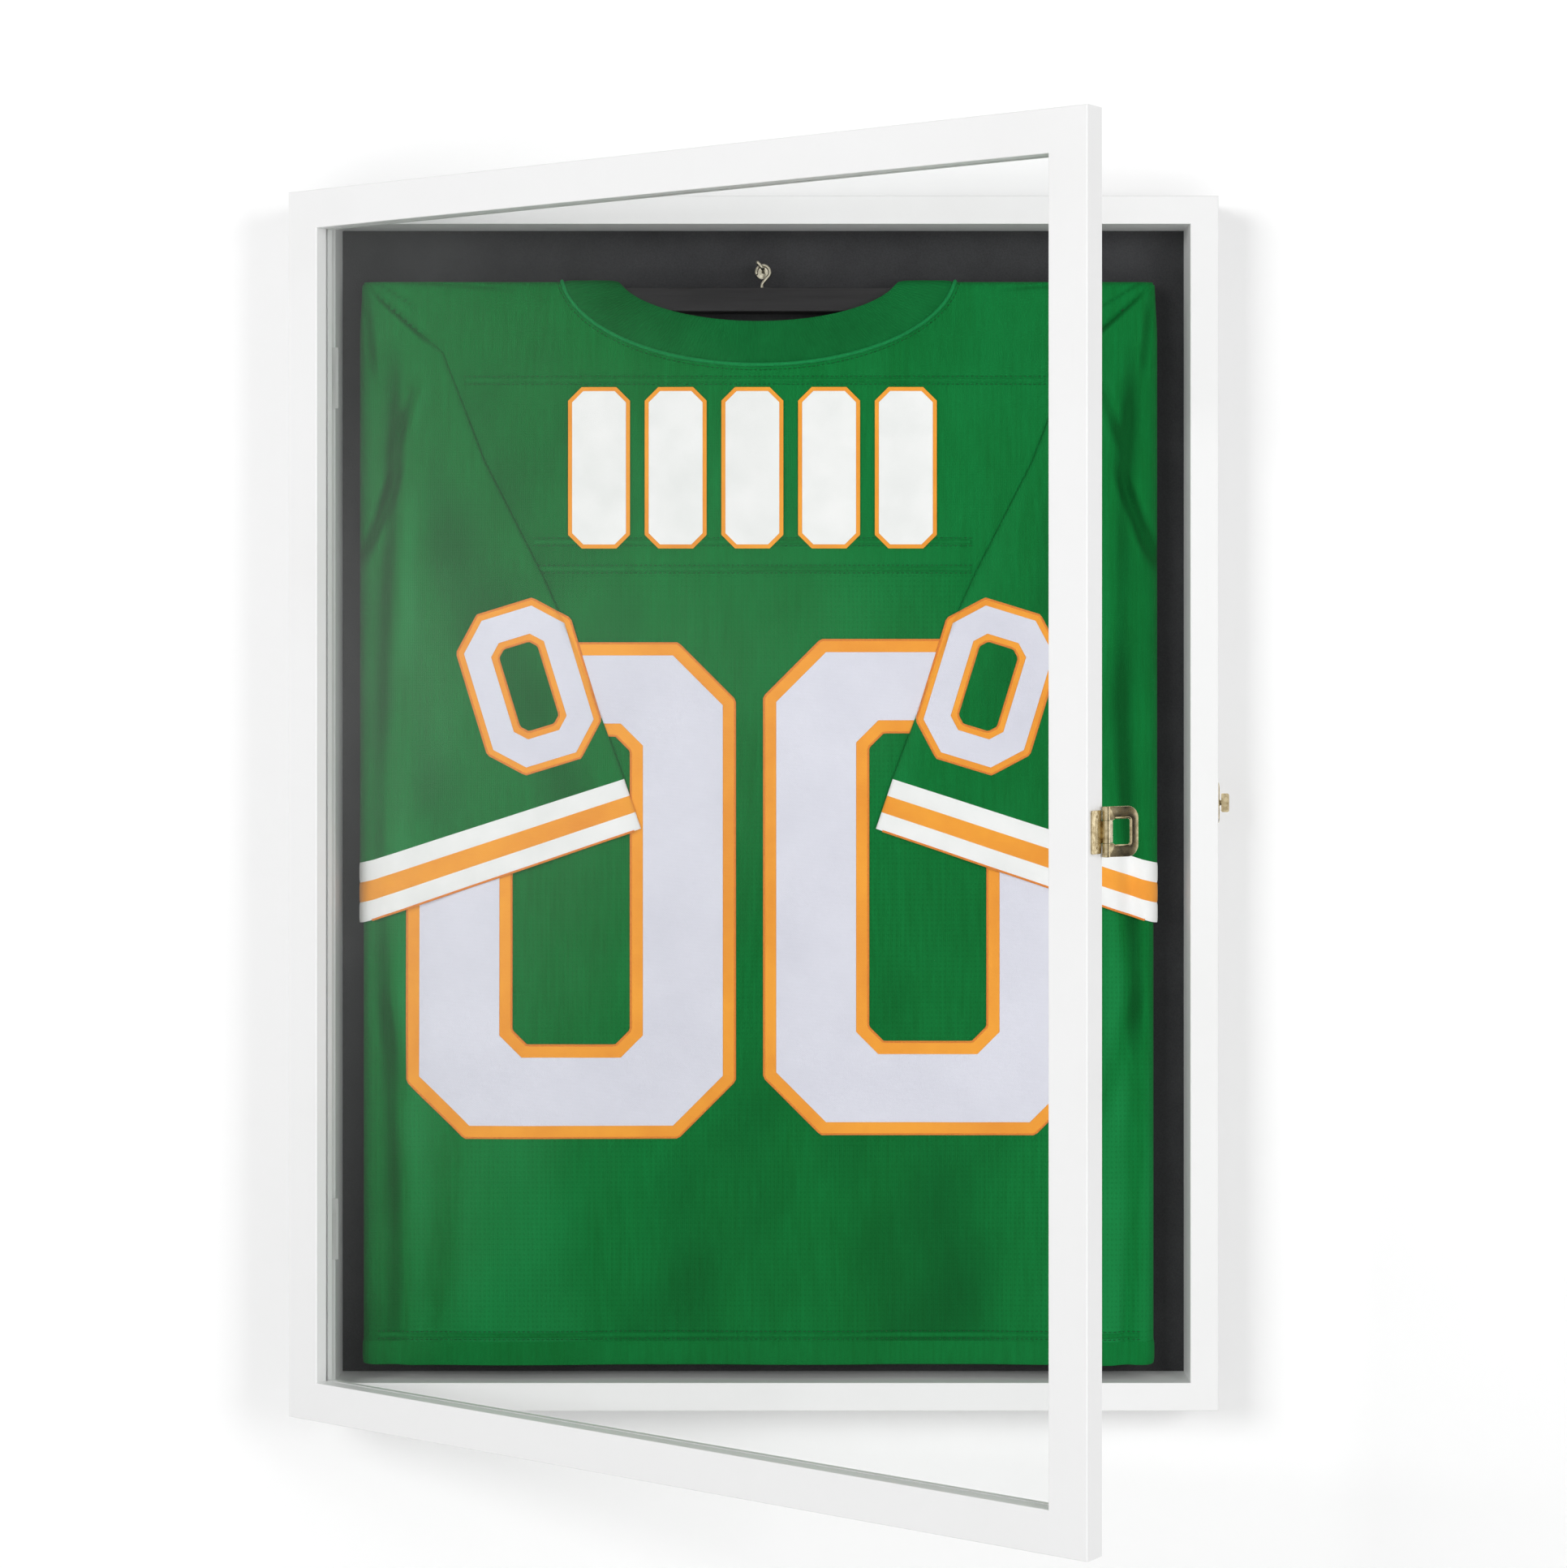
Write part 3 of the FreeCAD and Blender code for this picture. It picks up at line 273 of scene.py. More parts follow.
# ---- Felt and backing board -------------------------------------------------------------------
# Charcoal felt glued to brown hardboard, which drops into the step at the back of the case. The
# board's rear face has the screen pattern that its press leaves.
felt, tree, body = new_material("charcoal_felt", Roughness=0.95, Sheen_Weight=0.25, Sheen_Roughness=0.5)
place = object_place(tree)
fuzz = noise(tree, place, 900.0, 4.0, 0.7)
fibres = noise(tree, object_place(tree, (1, 1, 0.25)), 1500.0, 3.0, 0.6)
matted = noise(tree, place, 26.0, 3.0)
tone = sums(tree, "ADD", sums(tree, "MULTIPLY", fuzz, 0.6), sums(tree, "MULTIPLY", matted, 0.4))
FELT_DEEP, FELT_PALE = (0.026, 0.026, 0.028, 1), (0.047, 0.047, 0.050, 1)
tree.links.new(mixed(tree, clamped(tree, tone, 0.35, 0.65), FELT_DEEP, FELT_PALE), body.inputs["Base Color"])
bumped(tree, body, sums(tree, "ADD", fuzz, fibres), 0.0004, 0.7)
finish_nodes(["backing_felt"], felt)

board, tree, body = new_material("pressed_hardboard", Roughness=0.7)
place = object_place(tree)
speck = noise(tree, place, 700.0, 4.0, 0.7)
tree.links.new(mixed(tree, clamped(tree, speck, 0.35, 0.68), (0.20, 0.115, 0.055, 1), (0.36, 0.235, 0.13, 1)),
               body.inputs["Base Color"])
axes = add(tree, "SeparateXYZ", Vector=object_place(tree, (2600, 2600, 2600)))
screen = sums(tree, "MULTIPLY", sums(tree, "SINE", axes.outputs["X"]), sums(tree, "SINE", axes.outputs["Z"]))
weave = bumped(tree, body, screen, 0.00025, 0.6)
bumped(tree, body, speck, 0.0002, 0.4, weave)
finish_nodes(["backing_board"], board)

# ---- Nails, points, keyhole plates and their screws -------------------------------------------
# Zinc-plated steel stampings. The plating shows streaks where each strip was rolled.
zinc, tree, body = new_material("zinc_plate", Metallic=1.0, Roughness=0.4)
streaks = noise(tree, object_place(tree, (40, 40, 1)), 60.0, 3.0)
spangle = noise(tree, object_place(tree), 350.0, 2.0)
tree.links.new(mixed(tree, clamped(tree, spangle, 0.35, 0.65), (0.50, 0.51, 0.52, 1), (0.68, 0.69, 0.70, 1)),
               body.inputs["Base Color"])
tree.links.new(clamped(tree, streaks, 0.3, 0.7, 0.28, 0.50), body.inputs["Roughness"])
bumped(tree, body, streaks, 0.00004, 0.4)


def soft_copy(node_name, material, rounding, steps=2):
    """A copy of a small CAD piece with its edges rounded, as stamping and plating leave them."""
    source = nodes[node_name]
    made = source.copy()
    made.data = source.data.copy()
    for key in [k for k in made.keys() if k.startswith("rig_")]:
        del made[key]
    body_name = source["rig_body"]
    made.parent = None
    made.name = node_name + "_finished"
    bpy.context.scene.collection.objects.link(made)
    made.hide_render = made.hide_viewport = False
    made.data.materials.clear()
    made.data.materials.append(material)
    weld = made.modifiers.new("weld", "WELD")
    weld.merge_threshold = 0.00001
    bevel = made.modifiers.new("rounding", "BEVEL")
    bevel.width = rounding
    bevel.segments = steps
    bevel.limit_method = "ANGLE"
    bevel.angle_limit = math.radians(35)
    bevel.use_clamp_overlap = True
    made.data.polygons.foreach_set("use_smooth", np.ones(len(made.data.polygons), bool))
    bpy.context.view_layer.update()
    settled = bpy.data.meshes.new_from_object(made.evaluated_get(bpy.context.evaluated_depsgraph_get()))
    made.modifiers.clear()
    made.data = settled
    settled.set_sharp_from_angle(angle=math.radians(40))
    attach(made, body_name)
    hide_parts(node_name)


finish_nodes(["backing_points", "case_corner_nails", "door_corner_nails", "keyhole_screws"],
             zinc)
for node_name in ("wall_keyhole_left", "wall_keyhole_right"):
    soft_copy(node_name, zinc, 0.00025)

# ---- Hinges -----------------------------------------------------------------------------------
# Two butt hinges of folded steel, painted with the frame. The paint is thin on the knuckles.
painted, tree, body = new_material("painted_steel", Roughness=0.32, Coat_Weight=0.1)
place = object_place(tree)
wear = noise(tree, place, 240.0, 4.0, 0.65)
tree.links.new(mixed(tree, clamped(tree, wear, 0.66, 0.80), (0.70, 0.70, 0.695, 1), (0.46, 0.45, 0.43, 1)),
               body.inputs["Base Color"])
tree.links.new(clamped(tree, wear, 0.3, 0.7, 0.26, 0.44), body.inputs["Roughness"])
bumped(tree, body, wear, 0.00004, 0.4)
for place_name in ("upper", "lower"):
    for part_name, rounding in (("case_leaf", 0.00022), ("door_leaf", 0.00022), ("pin", 0.0003)):
        soft_copy("hinge_" + place_name + "_" + part_name, painted, rounding)
finish_nodes(["hinge_case_screws", "hinge_door_screws"], painted)

# ---- The pane ---------------------------------------------------------------------------------
# Clear acrylic, two millimetres thick, held in the door by its beads. Both faces reflect a little,
# and a faint veil of dust and finger marks lies on it.
PANE_REFLECTANCE = 1.35       # both faces, as a share of one face's
pane, tree, body = new_material("clear_acrylic", Base_Color=(0.93, 0.95, 0.94, 1), Metallic=1.0,
                                Roughness=0.035)
facing = sums(tree, "SUBTRACT", 1.0, add(tree, "NewGeometry").outputs["Backfacing"])
gloss = add(tree, "Fresnel", IOR=1.49).outputs[0]
gloss = sums(tree, "MULTIPLY", sums(tree, "MULTIPLY", gloss, PANE_REFLECTANCE), facing)
smear = noise(tree, object_place(tree, (1, 1, 0.6)), 9.0, 6.0, 0.62)
veil = sums(tree, "MULTIPLY", clamped(tree, smear, 0.46, 0.80), 0.012)
reflected = sums(tree, "MINIMUM", sums(tree, "ADD", gloss, veil), 1.0)
tree.links.new(clamped(tree, smear, 0.3, 0.8, 0.02, 0.09), body.inputs["Roughness"])
see_through = add(tree, "BsdfTransparent", Color=(0.997, 1.0, 0.998, 1)).outputs[0]
shown = add(tree, "MixShader", in0=reflected, in1=see_through, in2=body.outputs[0]).outputs[0]
tree.links.new(shown, tree.nodes["Material Output"].inputs["Surface"])
finish_nodes(["door_pane"], pane)

# ---- Hasp, turn knob and catch plate ----------------------------------------------------------
# Pressed brass plate with a pale gold flash. The tumbling that polished it left soft edges and a
# fine haze, and the plate has dulled in its hollows.
brass, tree, body = new_material("polished_brass", Metallic=1.0, Roughness=0.2)
place = object_place(tree)
dull = noise(tree, place, 300.0, 4.0, 0.6)
streak = noise(tree, object_place(tree, (1, 1, 14)), 200.0, 2.0)
tree.links.new(mixed(tree, clamped(tree, dull, 0.42, 0.75), (0.64, 0.54, 0.34, 1), (0.30, 0.22, 0.10, 1)),
               body.inputs["Base Color"])
tree.links.new(clamped(tree, dull, 0.3, 0.75, 0.12, 0.34), body.inputs["Roughness"])
bumped(tree, body, streak, 0.00003, 0.35)
for node_name, rounding in (("hasp_base", 0.0003), ("hasp_loop", 0.0004), ("catch_plate", 0.0005),
                            ("catch_knob", 0.0005), ("hasp_pin", 0.0002)):
    soft_copy(node_name, brass, rounding, 3)
finish_nodes(["hasp_screws", "catch_screws"], brass)

# The punch leaves a rolled lip round three sides of the loop's window, on its outer face. The side
# nearest the pin is open, for the base's tongue.
WINDOW_END, WINDOW_HALF = 16.6 * MM, 7.3 * MM
LIP_START, LIP_CORNER, LIP_RADIUS, LIP_STEP = 6.0 * MM, 1.6 * MM, 0.55 * MM, 0.35 * MM


def tube(name, middle, side, up, radius, material, steps=10):
    """A round rod along a line of points, with flat ends. side and up span its section."""
    turn = np.linspace(0, 2 * math.pi, steps, endpoint=False)[None, :, None]
    points = middle[:, None] + radius * (np.cos(turn) * side[:, None] + np.sin(turn) * up)
    index = np.arange(len(middle) * steps).reshape(len(middle), steps)
    near, far = index[:-1], index[1:]
    quads = np.stack([near, far, np.roll(far, -1, 1), np.roll(near, -1, 1)], -1).reshape(-1, 4)
    ends = np.stack([index[0], index[-1, ::-1]])
    flat = points.reshape(-1, 3)
    first = flat[quads[0]]
    if np.dot(np.cross(first[1] - first[0], first[3] - first[0]), first.mean(0) - middle[0]) < 0:
        quads, ends = quads[:, ::-1], ends[:, ::-1]
    return mesh_object(name, flat, [quads, ends], material)


loop_shape = nodes["hasp_loop"].data
loop_points = np.zeros(3 * len(loop_shape.vertices))
loop_shape.vertices.foreach_get("co", loop_points)
loop_points = loop_points.reshape(-1, 3)
pin_middle = np.mean([tuple(corner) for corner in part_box("hasp_pin")], axis=0)
away = (loop_points.min(0) + loop_points.max(0)) / 2 - pin_middle
far_end = loop_points[np.argmax(loop_points @ (away * (1, 1, 0)))] - pin_middle
reach = np.array([far_end[0], far_end[1], 0]) / np.hypot(far_end[0], far_end[1])
outward = np.array([reach[1], -reach[0], 0])
face = ((loop_points - pin_middle) @ outward)[(loop_points - pin_middle) @ reach > LIP_START].max()
turn = np.linspace(-math.pi / 2, math.pi / 2, 37)
turn = np.concatenate([turn[:1], turn, turn[-1:]])[:, None]
cosine, sine = np.cos(turn), np.sin(turn)
along = WINDOW_END - LIP_CORNER + (LIP_CORNER + LIP_STEP) * cosine
along[[0, -1]] = LIP_START
high = np.sign(sine) * (WINDOW_HALF - LIP_CORNER) + (LIP_CORNER + LIP_STEP) * sine
upright = np.array([0, 0, 1.0])
lip = tube("hasp_window_lip", pin_middle + along * reach + high * upright + (face - 0.1 * MM) * outward,
           cosine * reach + sine * upright, outward, LIP_RADIUS, brass)
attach(lip, "hasp")

# ---- Hanger rod, its hook and the peg ---------------------------------------------------------
# A square softwood rod under flat black paint, with a question-mark hook of bright wire screwed
# into its top. It hangs from a bent peg that a flange and a nut clamp through the back.
black, tree, body = new_material("flat_black_paint", Roughness=0.62)
ridges = noise(tree, object_place(tree, (1, 30, 30)), 14.0, 4.0, 0.6)
chips = noise(tree, object_place(tree), 130.0, 5.0, 0.7)
tree.links.new(mixed(tree, clamped(tree, chips, 0.70, 0.78, 0.0, 0.5), (0.014, 0.013, 0.014, 1),
                     (0.05, 0.045, 0.04, 1)), body.inputs["Base Color"])
tree.links.new(clamped(tree, ridges, 0.3, 0.7, 0.50, 0.72), body.inputs["Roughness"])
bumped(tree, body, ridges, 0.0003, 0.5)
soft_copy("hanger_bar", black, 0.0003)

wire, tree, body = new_material("bright_wire", Metallic=1.0, Roughness=0.22)
drawn = noise(tree, object_place(tree), 500.0, 3.0, 0.6)
tree.links.new(mixed(tree, clamped(tree, drawn, 0.4, 0.7), (0.74, 0.69, 0.55, 1), (0.50, 0.46, 0.36, 1)),
               body.inputs["Base Color"])
tree.links.new(clamped(tree, drawn, 0.3, 0.7, 0.14, 0.32), body.inputs["Roughness"])
bumped(tree, body, drawn, 0.00003, 0.4)
for node_name in ("hanger_hook", "case_hook", "case_hook_nut"):
    soft_copy(node_name, wire, 0.0002)

# ---- Shirt cloths -----------------------------------------------------------------------------
# The shirt is two flat widths of polyester mesh, joined over the shoulders, that the rod lies
# between. Every later piece is laid on the same surface, given across, down the cloth and out.
bar_lo, bar_hi = (np.array(corner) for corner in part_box("hanger_bar"))
panel_lo, panel_hi = (np.array(corner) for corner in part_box("jersey_front_panel"))
SHIRT_MIDDLE = (panel_lo[0] + panel_hi[0]) / 2
SHIRT_HALF = (panel_hi[0] - panel_lo[0]) / 2
SHIRT_TOP, SHIRT_HEM = panel_hi[2], panel_lo[2]
ROD_Y = (bar_lo[1] + bar_hi[1]) / 2
CLOTH = 0.9 * MM
HALF_DEPTH = (bar_hi[1] - bar_lo[1]) / 2 + 1.4 * MM
SHOULDER_ROUND = 5.0 * MM
SIDE_ROUND = 8.0 * MM
HEM_TAPER = 6.0 * MM         # rear cloth comes forward by this at the hem
SHOULDER_FLAT = HALF_DEPTH - SHOULDER_ROUND
OVER_SHOULDER = SHOULDER_FLAT + SHOULDER_ROUND * (math.pi / 2 - 1)
COLLAR_HALF, COLLAR_DROP = 129.6 * MM, 53.5 * MM
NECK_HALF, NECK_DROP = 94.5 * MM, 26.0 * MM
REAR_COLLAR_DROP, REAR_NECK_DROP = 112.0 * MM, 84.0 * MM


def down_at(z):
    """How far down the front cloth a height is, measured over the shoulder from its ridge."""
    return OVER_SHOULDER + SHIRT_TOP - np.asarray(z, float)


def rise(value, start, end):
    """0 before start, 1 after end, and a smooth S between."""
    share = np.clip((value - start) / (end - start), 0, 1)
    return share * share * (3 - 2 * share)


def furrow(x, down, start, end, width, depth):
    """A valley along the straight line between two (distance from the side, down) points, with a
    low ridge on either side. It fades in from just before its start and out to just past its end."""
    start, end = np.array(start) * MM, np.array(end) * MM
    long = np.linalg.norm(end - start)
    along = (end - start) / long
    side = SHIRT_HALF - np.abs(x - SHIRT_MIDDLE) - start[0]
    far = down - start[1]
    place = side * along[0] + far * along[1]
    off = (side * along[1] - far * along[0]) / (width * MM)
    window = rise(place, -0.15 * long, 0.3 * long) * (1 - rise(place, 0.7 * long, 1.15 * long))
    return -depth * MM * window * (1 - 1.1 * off ** 2) * np.exp(-off ** 2)


# Each crease's start and end as (distance from the side, down), its width and its depth, in
# millimetres. The first four run in from the shoulder's corner, two lie beside the sleeve's fold
# and two rise from the hem.
CREASES = (((6, 13), (47, 50), 2.6, 2.3), ((5, 5), (38, 26), 2.2, 1.7),
           ((26, 7), (104, 13), 2.4, 1.6), ((4, 18), (8, 70), 3.4, 1.9),
           ((38, 70), (22, 116), 5.0, 2.4), ((23, 132), (0, 196), 5.5, 3.8),
           ((10, 470), (34, 560), 9.0, 1.6), ((60, 560), (52, 690), 11.0, 1.6))
FOLD_VALLEY = (17 * MM, 5.5 * MM, 3.4 * MM)    # distance from the side, width, depth
FOLD_RIDGE = (31 * MM, 9 * MM, 2.4 * MM)       # distance from the side, width, height


def folds(x, down):
    """How far the cloth stands out from flat: two soft folds down each side, the creases, a shallow
    swell over the whole width and a looser hem."""
    side, hand = SHIRT_HALF - np.abs(x - SHIRT_MIDDLE), np.sign(x - SHIRT_MIDDLE)
    sway = 5.0 * MM * np.sin(down / (95 * MM) + 2.2 * hand)
    valley = -FOLD_VALLEY[2] * np.exp(-((side - FOLD_VALLEY[0] + sway) / FOLD_VALLEY[1]) ** 2)
    ridge = FOLD_RIDGE[2] * np.exp(-((side - FOLD_RIDGE[0] + sway) / FOLD_RIDGE[1]) ** 2)
    strength = 0.75 + 0.25 * np.sin(down / (61 * MM) + hand)
    upright = (valley + ridge) * rise(down, 30 * MM, 110 * MM) * strength
    creases = sum(furrow(x, down, *crease) for crease in CREASES)
    swell = 1.2 * MM * np.sin(x / (71 * MM) + 0.8) * np.sin(down / (133 * MM))
    loose = 1.4 * MM * np.sin(x / (31 * MM) + 0.7 * np.sin(down / (90 * MM))) * rise(down, 500 * MM, 700 * MM)
    small = 0.40 * MM * np.sin(x / (11.5 * MM) + down / (37 * MM)) * np.sin(down / (19 * MM) - x / (53 * MM))
    return upright + creases + (swell + loose + small) * rise(down, 10 * MM, 60 * MM)


def on_shirt(x, down, out, stand=folds):
    """A point that stands out from the shirt by out. The section is flat, round, then straight down,
    mirrored for the rear, where down is negative. At each side the depth closes as an ellipse."""
    x, down, out = np.broadcast_arrays(x, down, out)
    front = np.where(down >= 0, 1.0, -1.0)
    far = np.abs(down)
    turn = np.clip((far - SHOULDER_FLAT) / SHOULDER_ROUND, 0, math.pi / 2)
    hang = np.maximum(far - SHOULDER_FLAT - SHOULDER_ROUND * math.pi / 2, 0)
    depth = np.minimum(far, SHOULDER_FLAT) + SHOULDER_ROUND * np.sin(turn)
    depth = depth - np.where(down < 0, HEM_TAPER * hang / (SHIRT_TOP - SHIRT_HEM), 0.0)
    depth = depth + stand(x, far) * np.sin(turn) * np.where(down >= 0, 1.0, 0.25)
    edge = np.clip((np.abs(x - SHIRT_MIDDLE) - (SHIRT_HALF - SIDE_ROUND)) / SIDE_ROUND, 0, 1)
    close = np.sqrt(1 - edge ** 2)
    level = np.sin(turn)
    y = ROD_Y - front * (depth + out * level) * close
    z = SHIRT_TOP - CLOTH / 2 - SHOULDER_ROUND * (1 - np.cos(turn)) - hang + out * np.cos(turn)
    return np.stack([x + np.sign(x - SHIRT_MIDDLE) * out * edge * level, y, z], -1)


def slab(name, outer, inner, material, ring=False, uv=None):
    """A closed cloth from two grids of points: its two faces, and the strip round its edge. A ring's
    last row joins its first. uv has one more row than a ring's points, so that it doesn't jump."""
    rows, columns = outer.shape[:2]
    lines = rows + ring
    count = lines * columns
    index = np.arange(count).reshape(lines, columns)
    quads = np.stack([index[:-1, :-1], index[:-1, 1:], index[1:, 1:], index[1:, :-1]], -1).reshape(-1, 4)
    border = [index[:, 0], index[::-1, -1]] if ring else [
        np.concatenate([index[:, 0], index[-1, 1:], index[-2::-1, -1], index[0, -2::-1]])]
    rims = [np.stack([b[:-1], b[1:], b[1:] + count, b[:-1] + count], -1) for b in border]
    faces = np.concatenate([quads, quads[:, ::-1] + count] + rims)
    row, column = rows // 2, columns // 2
    middle = outer[row, column]
    normal = np.cross(middle - outer[row, column - 1], middle - outer[row - 1, column])
    if np.dot(normal, middle - inner[row, column]) < 0:
        faces = faces[:, ::-1]
    place = faces % count
    ids = faces // count * rows * columns + place // columns % rows * columns + place % columns
    made = mesh_object(name, np.concatenate([outer.reshape(-1, 3), inner.reshape(-1, 3)]), [ids], material)
    if uv is not None:
        flat = np.stack(np.broadcast_arrays(*uv), -1).reshape(-1, 2)[place.ravel()]
        made.data.uv_layers.new(name="cloth").data.foreach_set("uv", flat.astype(np.float32).ravel())
    made.data.set_sharp_from_angle(angle=math.radians(50))
    return made


def oval(x, half, drop):
    """How far down an oval's edge is at x, and 0 beyond its ends."""
    return drop * np.sqrt(np.clip(1 - ((x - SHIRT_MIDDLE) / half) ** 2, 0, 1))


def body_grid(sign, collar_drop, rows):
    """(x, down) of a shirt width: columns close together at the sides and the collar's ends, rows
    from the shoulder ridge, or from inside the collar's edge, to the hem."""
    turn = np.linspace(0, math.pi / 2, 9)
    edge = SHIRT_HALF - SIDE_ROUND + SIDE_ROUND * np.sin(turn)
    near_collar = COLLAR_HALF - COLLAR_HALF * (1 - np.cos(np.linspace(0, 0.5, 9))) * 0.6
    plain = np.arange(0, SHIRT_HALF - SIDE_ROUND, 3.6 * MM)
    side = np.unique(np.round(np.concatenate([edge, near_collar, plain]), 6))
    x = SHIRT_MIDDLE + np.concatenate([-side[:0:-1], side])
    start = oval(x, COLLAR_HALF - 6 * MM, collar_drop - 6 * MM)
    share = np.linspace(0, 1, rows)[:, None] ** 1.25
    end = down_at(SHIRT_HEM)
    return x[None, :] + 0 * share, sign * (start[None, :] + share * (end - start[None, :]))


WALE, COURSE = 1.3 * MM, 1.1 * MM
HOLE_ACROSS, HOLE_DOWN = 2.9 * MM, 3.4 * MM
# Paler green painted on the folds' crests as a painted highlight.
PAINTED_CREST_HIGHLIGHT = (0.012, 0.255, 0.068, 1)


def knit(name, deep, light, mesh_from):
    """Polyester jersey: fine upright wales, and below a seam at that height a mesh of small holes.
    The cloth has a soft sheen, and its dye is a little uneven. The folds' crests are painted paler, a painted
    highlight, and their hollows darker, a painted shade, by the height that the mesh keeps for them."""
    made, tree, body = new_material(name, Roughness=0.8, Specular_IOR_Level=0.12, Sheen_Weight=0.02)
    place = object_place(tree)
    axes = add(tree, "SeparateXYZ", Vector=place)
    x, z = axes.outputs["X"], axes.outputs["Z"]
    wales = sums(tree, "SINE", sums(tree, "MULTIPLY", x, 2 * math.pi / WALE))
    courses = sums(tree, "SINE", sums(tree, "MULTIPLY", z, 2 * math.pi / COURSE))
    wide = sums(tree, "SINE", sums(tree, "MULTIPLY", x, math.pi / HOLE_ACROSS))
    tall = sums(tree, "SINE", sums(tree, "MULTIPLY", z, math.pi / HOLE_DOWN))
    hole = sums(tree, "ABSOLUTE", sums(tree, "MULTIPLY", wide, tall))
    low = clamped(tree, z, mesh_from, mesh_from - 2 * MM)
    hole = sums(tree, "MULTIPLY", clamped(tree, hole, 0.55, 0.95), low)
    cloud = noise(tree, object_place(tree, (1, 1, 0.35)), 9.0, 4.0, 0.6)
    slub = noise(tree, object_place(tree, (1, 1, 0.08)), 420.0, 2.0)
    shade = sums(tree, "ADD", sums(tree, "MULTIPLY", cloud, 0.65), sums(tree, "MULTIPLY", slub, 0.35))
    colour = mixed(tree, clamped(tree, shade, 0.36, 0.64), deep, light)
    # A deeper green, painted into the folds' hollows and the mesh's holes as painted shade.
    knit_painted_shade = tuple(0.45 * c for c in deep[:3]) + (1,)
    height = add(tree, "Attribute", {"attribute_name": "fold_height"}).outputs["Fac"]
    # The crests are painted paler by their height, a painted highlight, and the hollows darker, a painted
    # shade.
    colour = mixed(tree, clamped(tree, height, 0.4 * MM, 2.8 * MM, 0.0, 0.5), colour, PAINTED_CREST_HIGHLIGHT)
    colour = mixed(tree, clamped(tree, height, -0.3 * MM, -3.0 * MM, 0.0, 0.8), colour, knit_painted_shade)
    # The mesh's holes are painted darker, as painted shade inside them.
    tree.links.new(mixed(tree, sums(tree, "MULTIPLY", hole, 0.18), colour, knit_painted_shade), body.inputs["Base Color"])
    threads = bumped(tree, body, sums(tree, "ADD", wales, sums(tree, "MULTIPLY", courses, 0.6)), 0.00012, 0.5)
    bumped(tree, body, sums(tree, "SUBTRACT", 0.0, hole), 0.0003, 0.35, threads)
    tree.links.new(clamped(tree, shade, 0.3, 0.7, 0.62, 0.82), body.inputs["Roughness"])
    return made


def keep_height(made, x, down, stand=folds):
    """Writes each point's fold height into the mesh, for both faces of the cloth."""
    height = stand(*np.broadcast_arrays(x, np.abs(down))).ravel()
    made.data.attributes.new("fold_height", "FLOAT", "POINT").data.foreach_set("value", np.tile(height, 2))


GREEN_DEEP, GREEN_LIGHT = (0.002, 0.135, 0.024, 1), (0.004, 0.180, 0.038, 1)
LOWER_SEAM = 190.0 * MM      # lower of the two seams across the chest, below the shoulder
NO_MESH = -9.0               # a height below every cloth, for a knit with no holes
knit_green = knit("green_mesh_knit", GREEN_DEEP, GREEN_LIGHT, float(SHIRT_TOP - LOWER_SEAM))
knit_plain = knit("green_tricot", GREEN_DEEP, GREEN_LIGHT, NO_MESH)
# A paler copy of the tricot, a painted highlight for the collar seam's ridge.
knit_painted_highlight = knit("green_tricot_rubbed", (0.006, 0.190, 0.050, 1), (0.010, 0.250, 0.066, 1),
                 NO_MESH)

x, down = body_grid(1, COLLAR_DROP + OVER_SHOULDER, 200)
front = slab("shirt_front", on_shirt(x, down, CLOTH / 2), on_shirt(x, down, -CLOTH / 2), knit_green)
keep_height(front, x, down)
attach(front, "hanger")
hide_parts("jersey_front_panel", "jersey_shoulders", "jersey_side_folds")
x, down = body_grid(-1, REAR_COLLAR_DROP + OVER_SHOULDER, 90)
rear = slab("shirt_rear", on_shirt(x, down, -CLOTH / 2), on_shirt(x, down, CLOTH / 2), knit_green)
keep_height(rear, x, down)
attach(rear, "hanger")
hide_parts("jersey_rear_panel")

# ---- Ribbed collar ----------------------------------------------------------------------------
# A doubled band of rib knit, wider than the neck hole, sewn on so that it lies flat. The rear of
# the shirt is cut lower, so the rod shows through the neck.
rib, tree, body = new_material("green_rib_knit", Roughness=0.85, Specular_IOR_Level=0.12)
along = add(tree, "SeparateXYZ", Vector=add(tree, "UVMap", {"uv_map": "cloth"}).outputs[0]).outputs["X"]
ribs = sums(tree, "SINE", sums(tree, "MULTIPLY", along, 2 * math.pi / (2.2 * MM)))
cloud = noise(tree, object_place(tree), 14.0, 4.0, 0.6)
deep, light = (0.003, 0.105, 0.022, 1), (0.005, 0.15, 0.034, 1)
tree.links.new(mixed(tree, clamped(tree, cloud, 0.35, 0.65), deep, light), body.inputs["Base Color"])
bumped(tree, body, ribs, 0.00022, 0.6)


def neck_ring(half, front_drop, rear_drop, angle):
    """(x, down) round an oval that is deeper at the rear."""
    sine = np.sin(angle)
    drop = np.where(sine >= 0, front_drop, rear_drop) + OVER_SHOULDER
    return SHIRT_MIDDLE + half * np.cos(angle), drop * sine


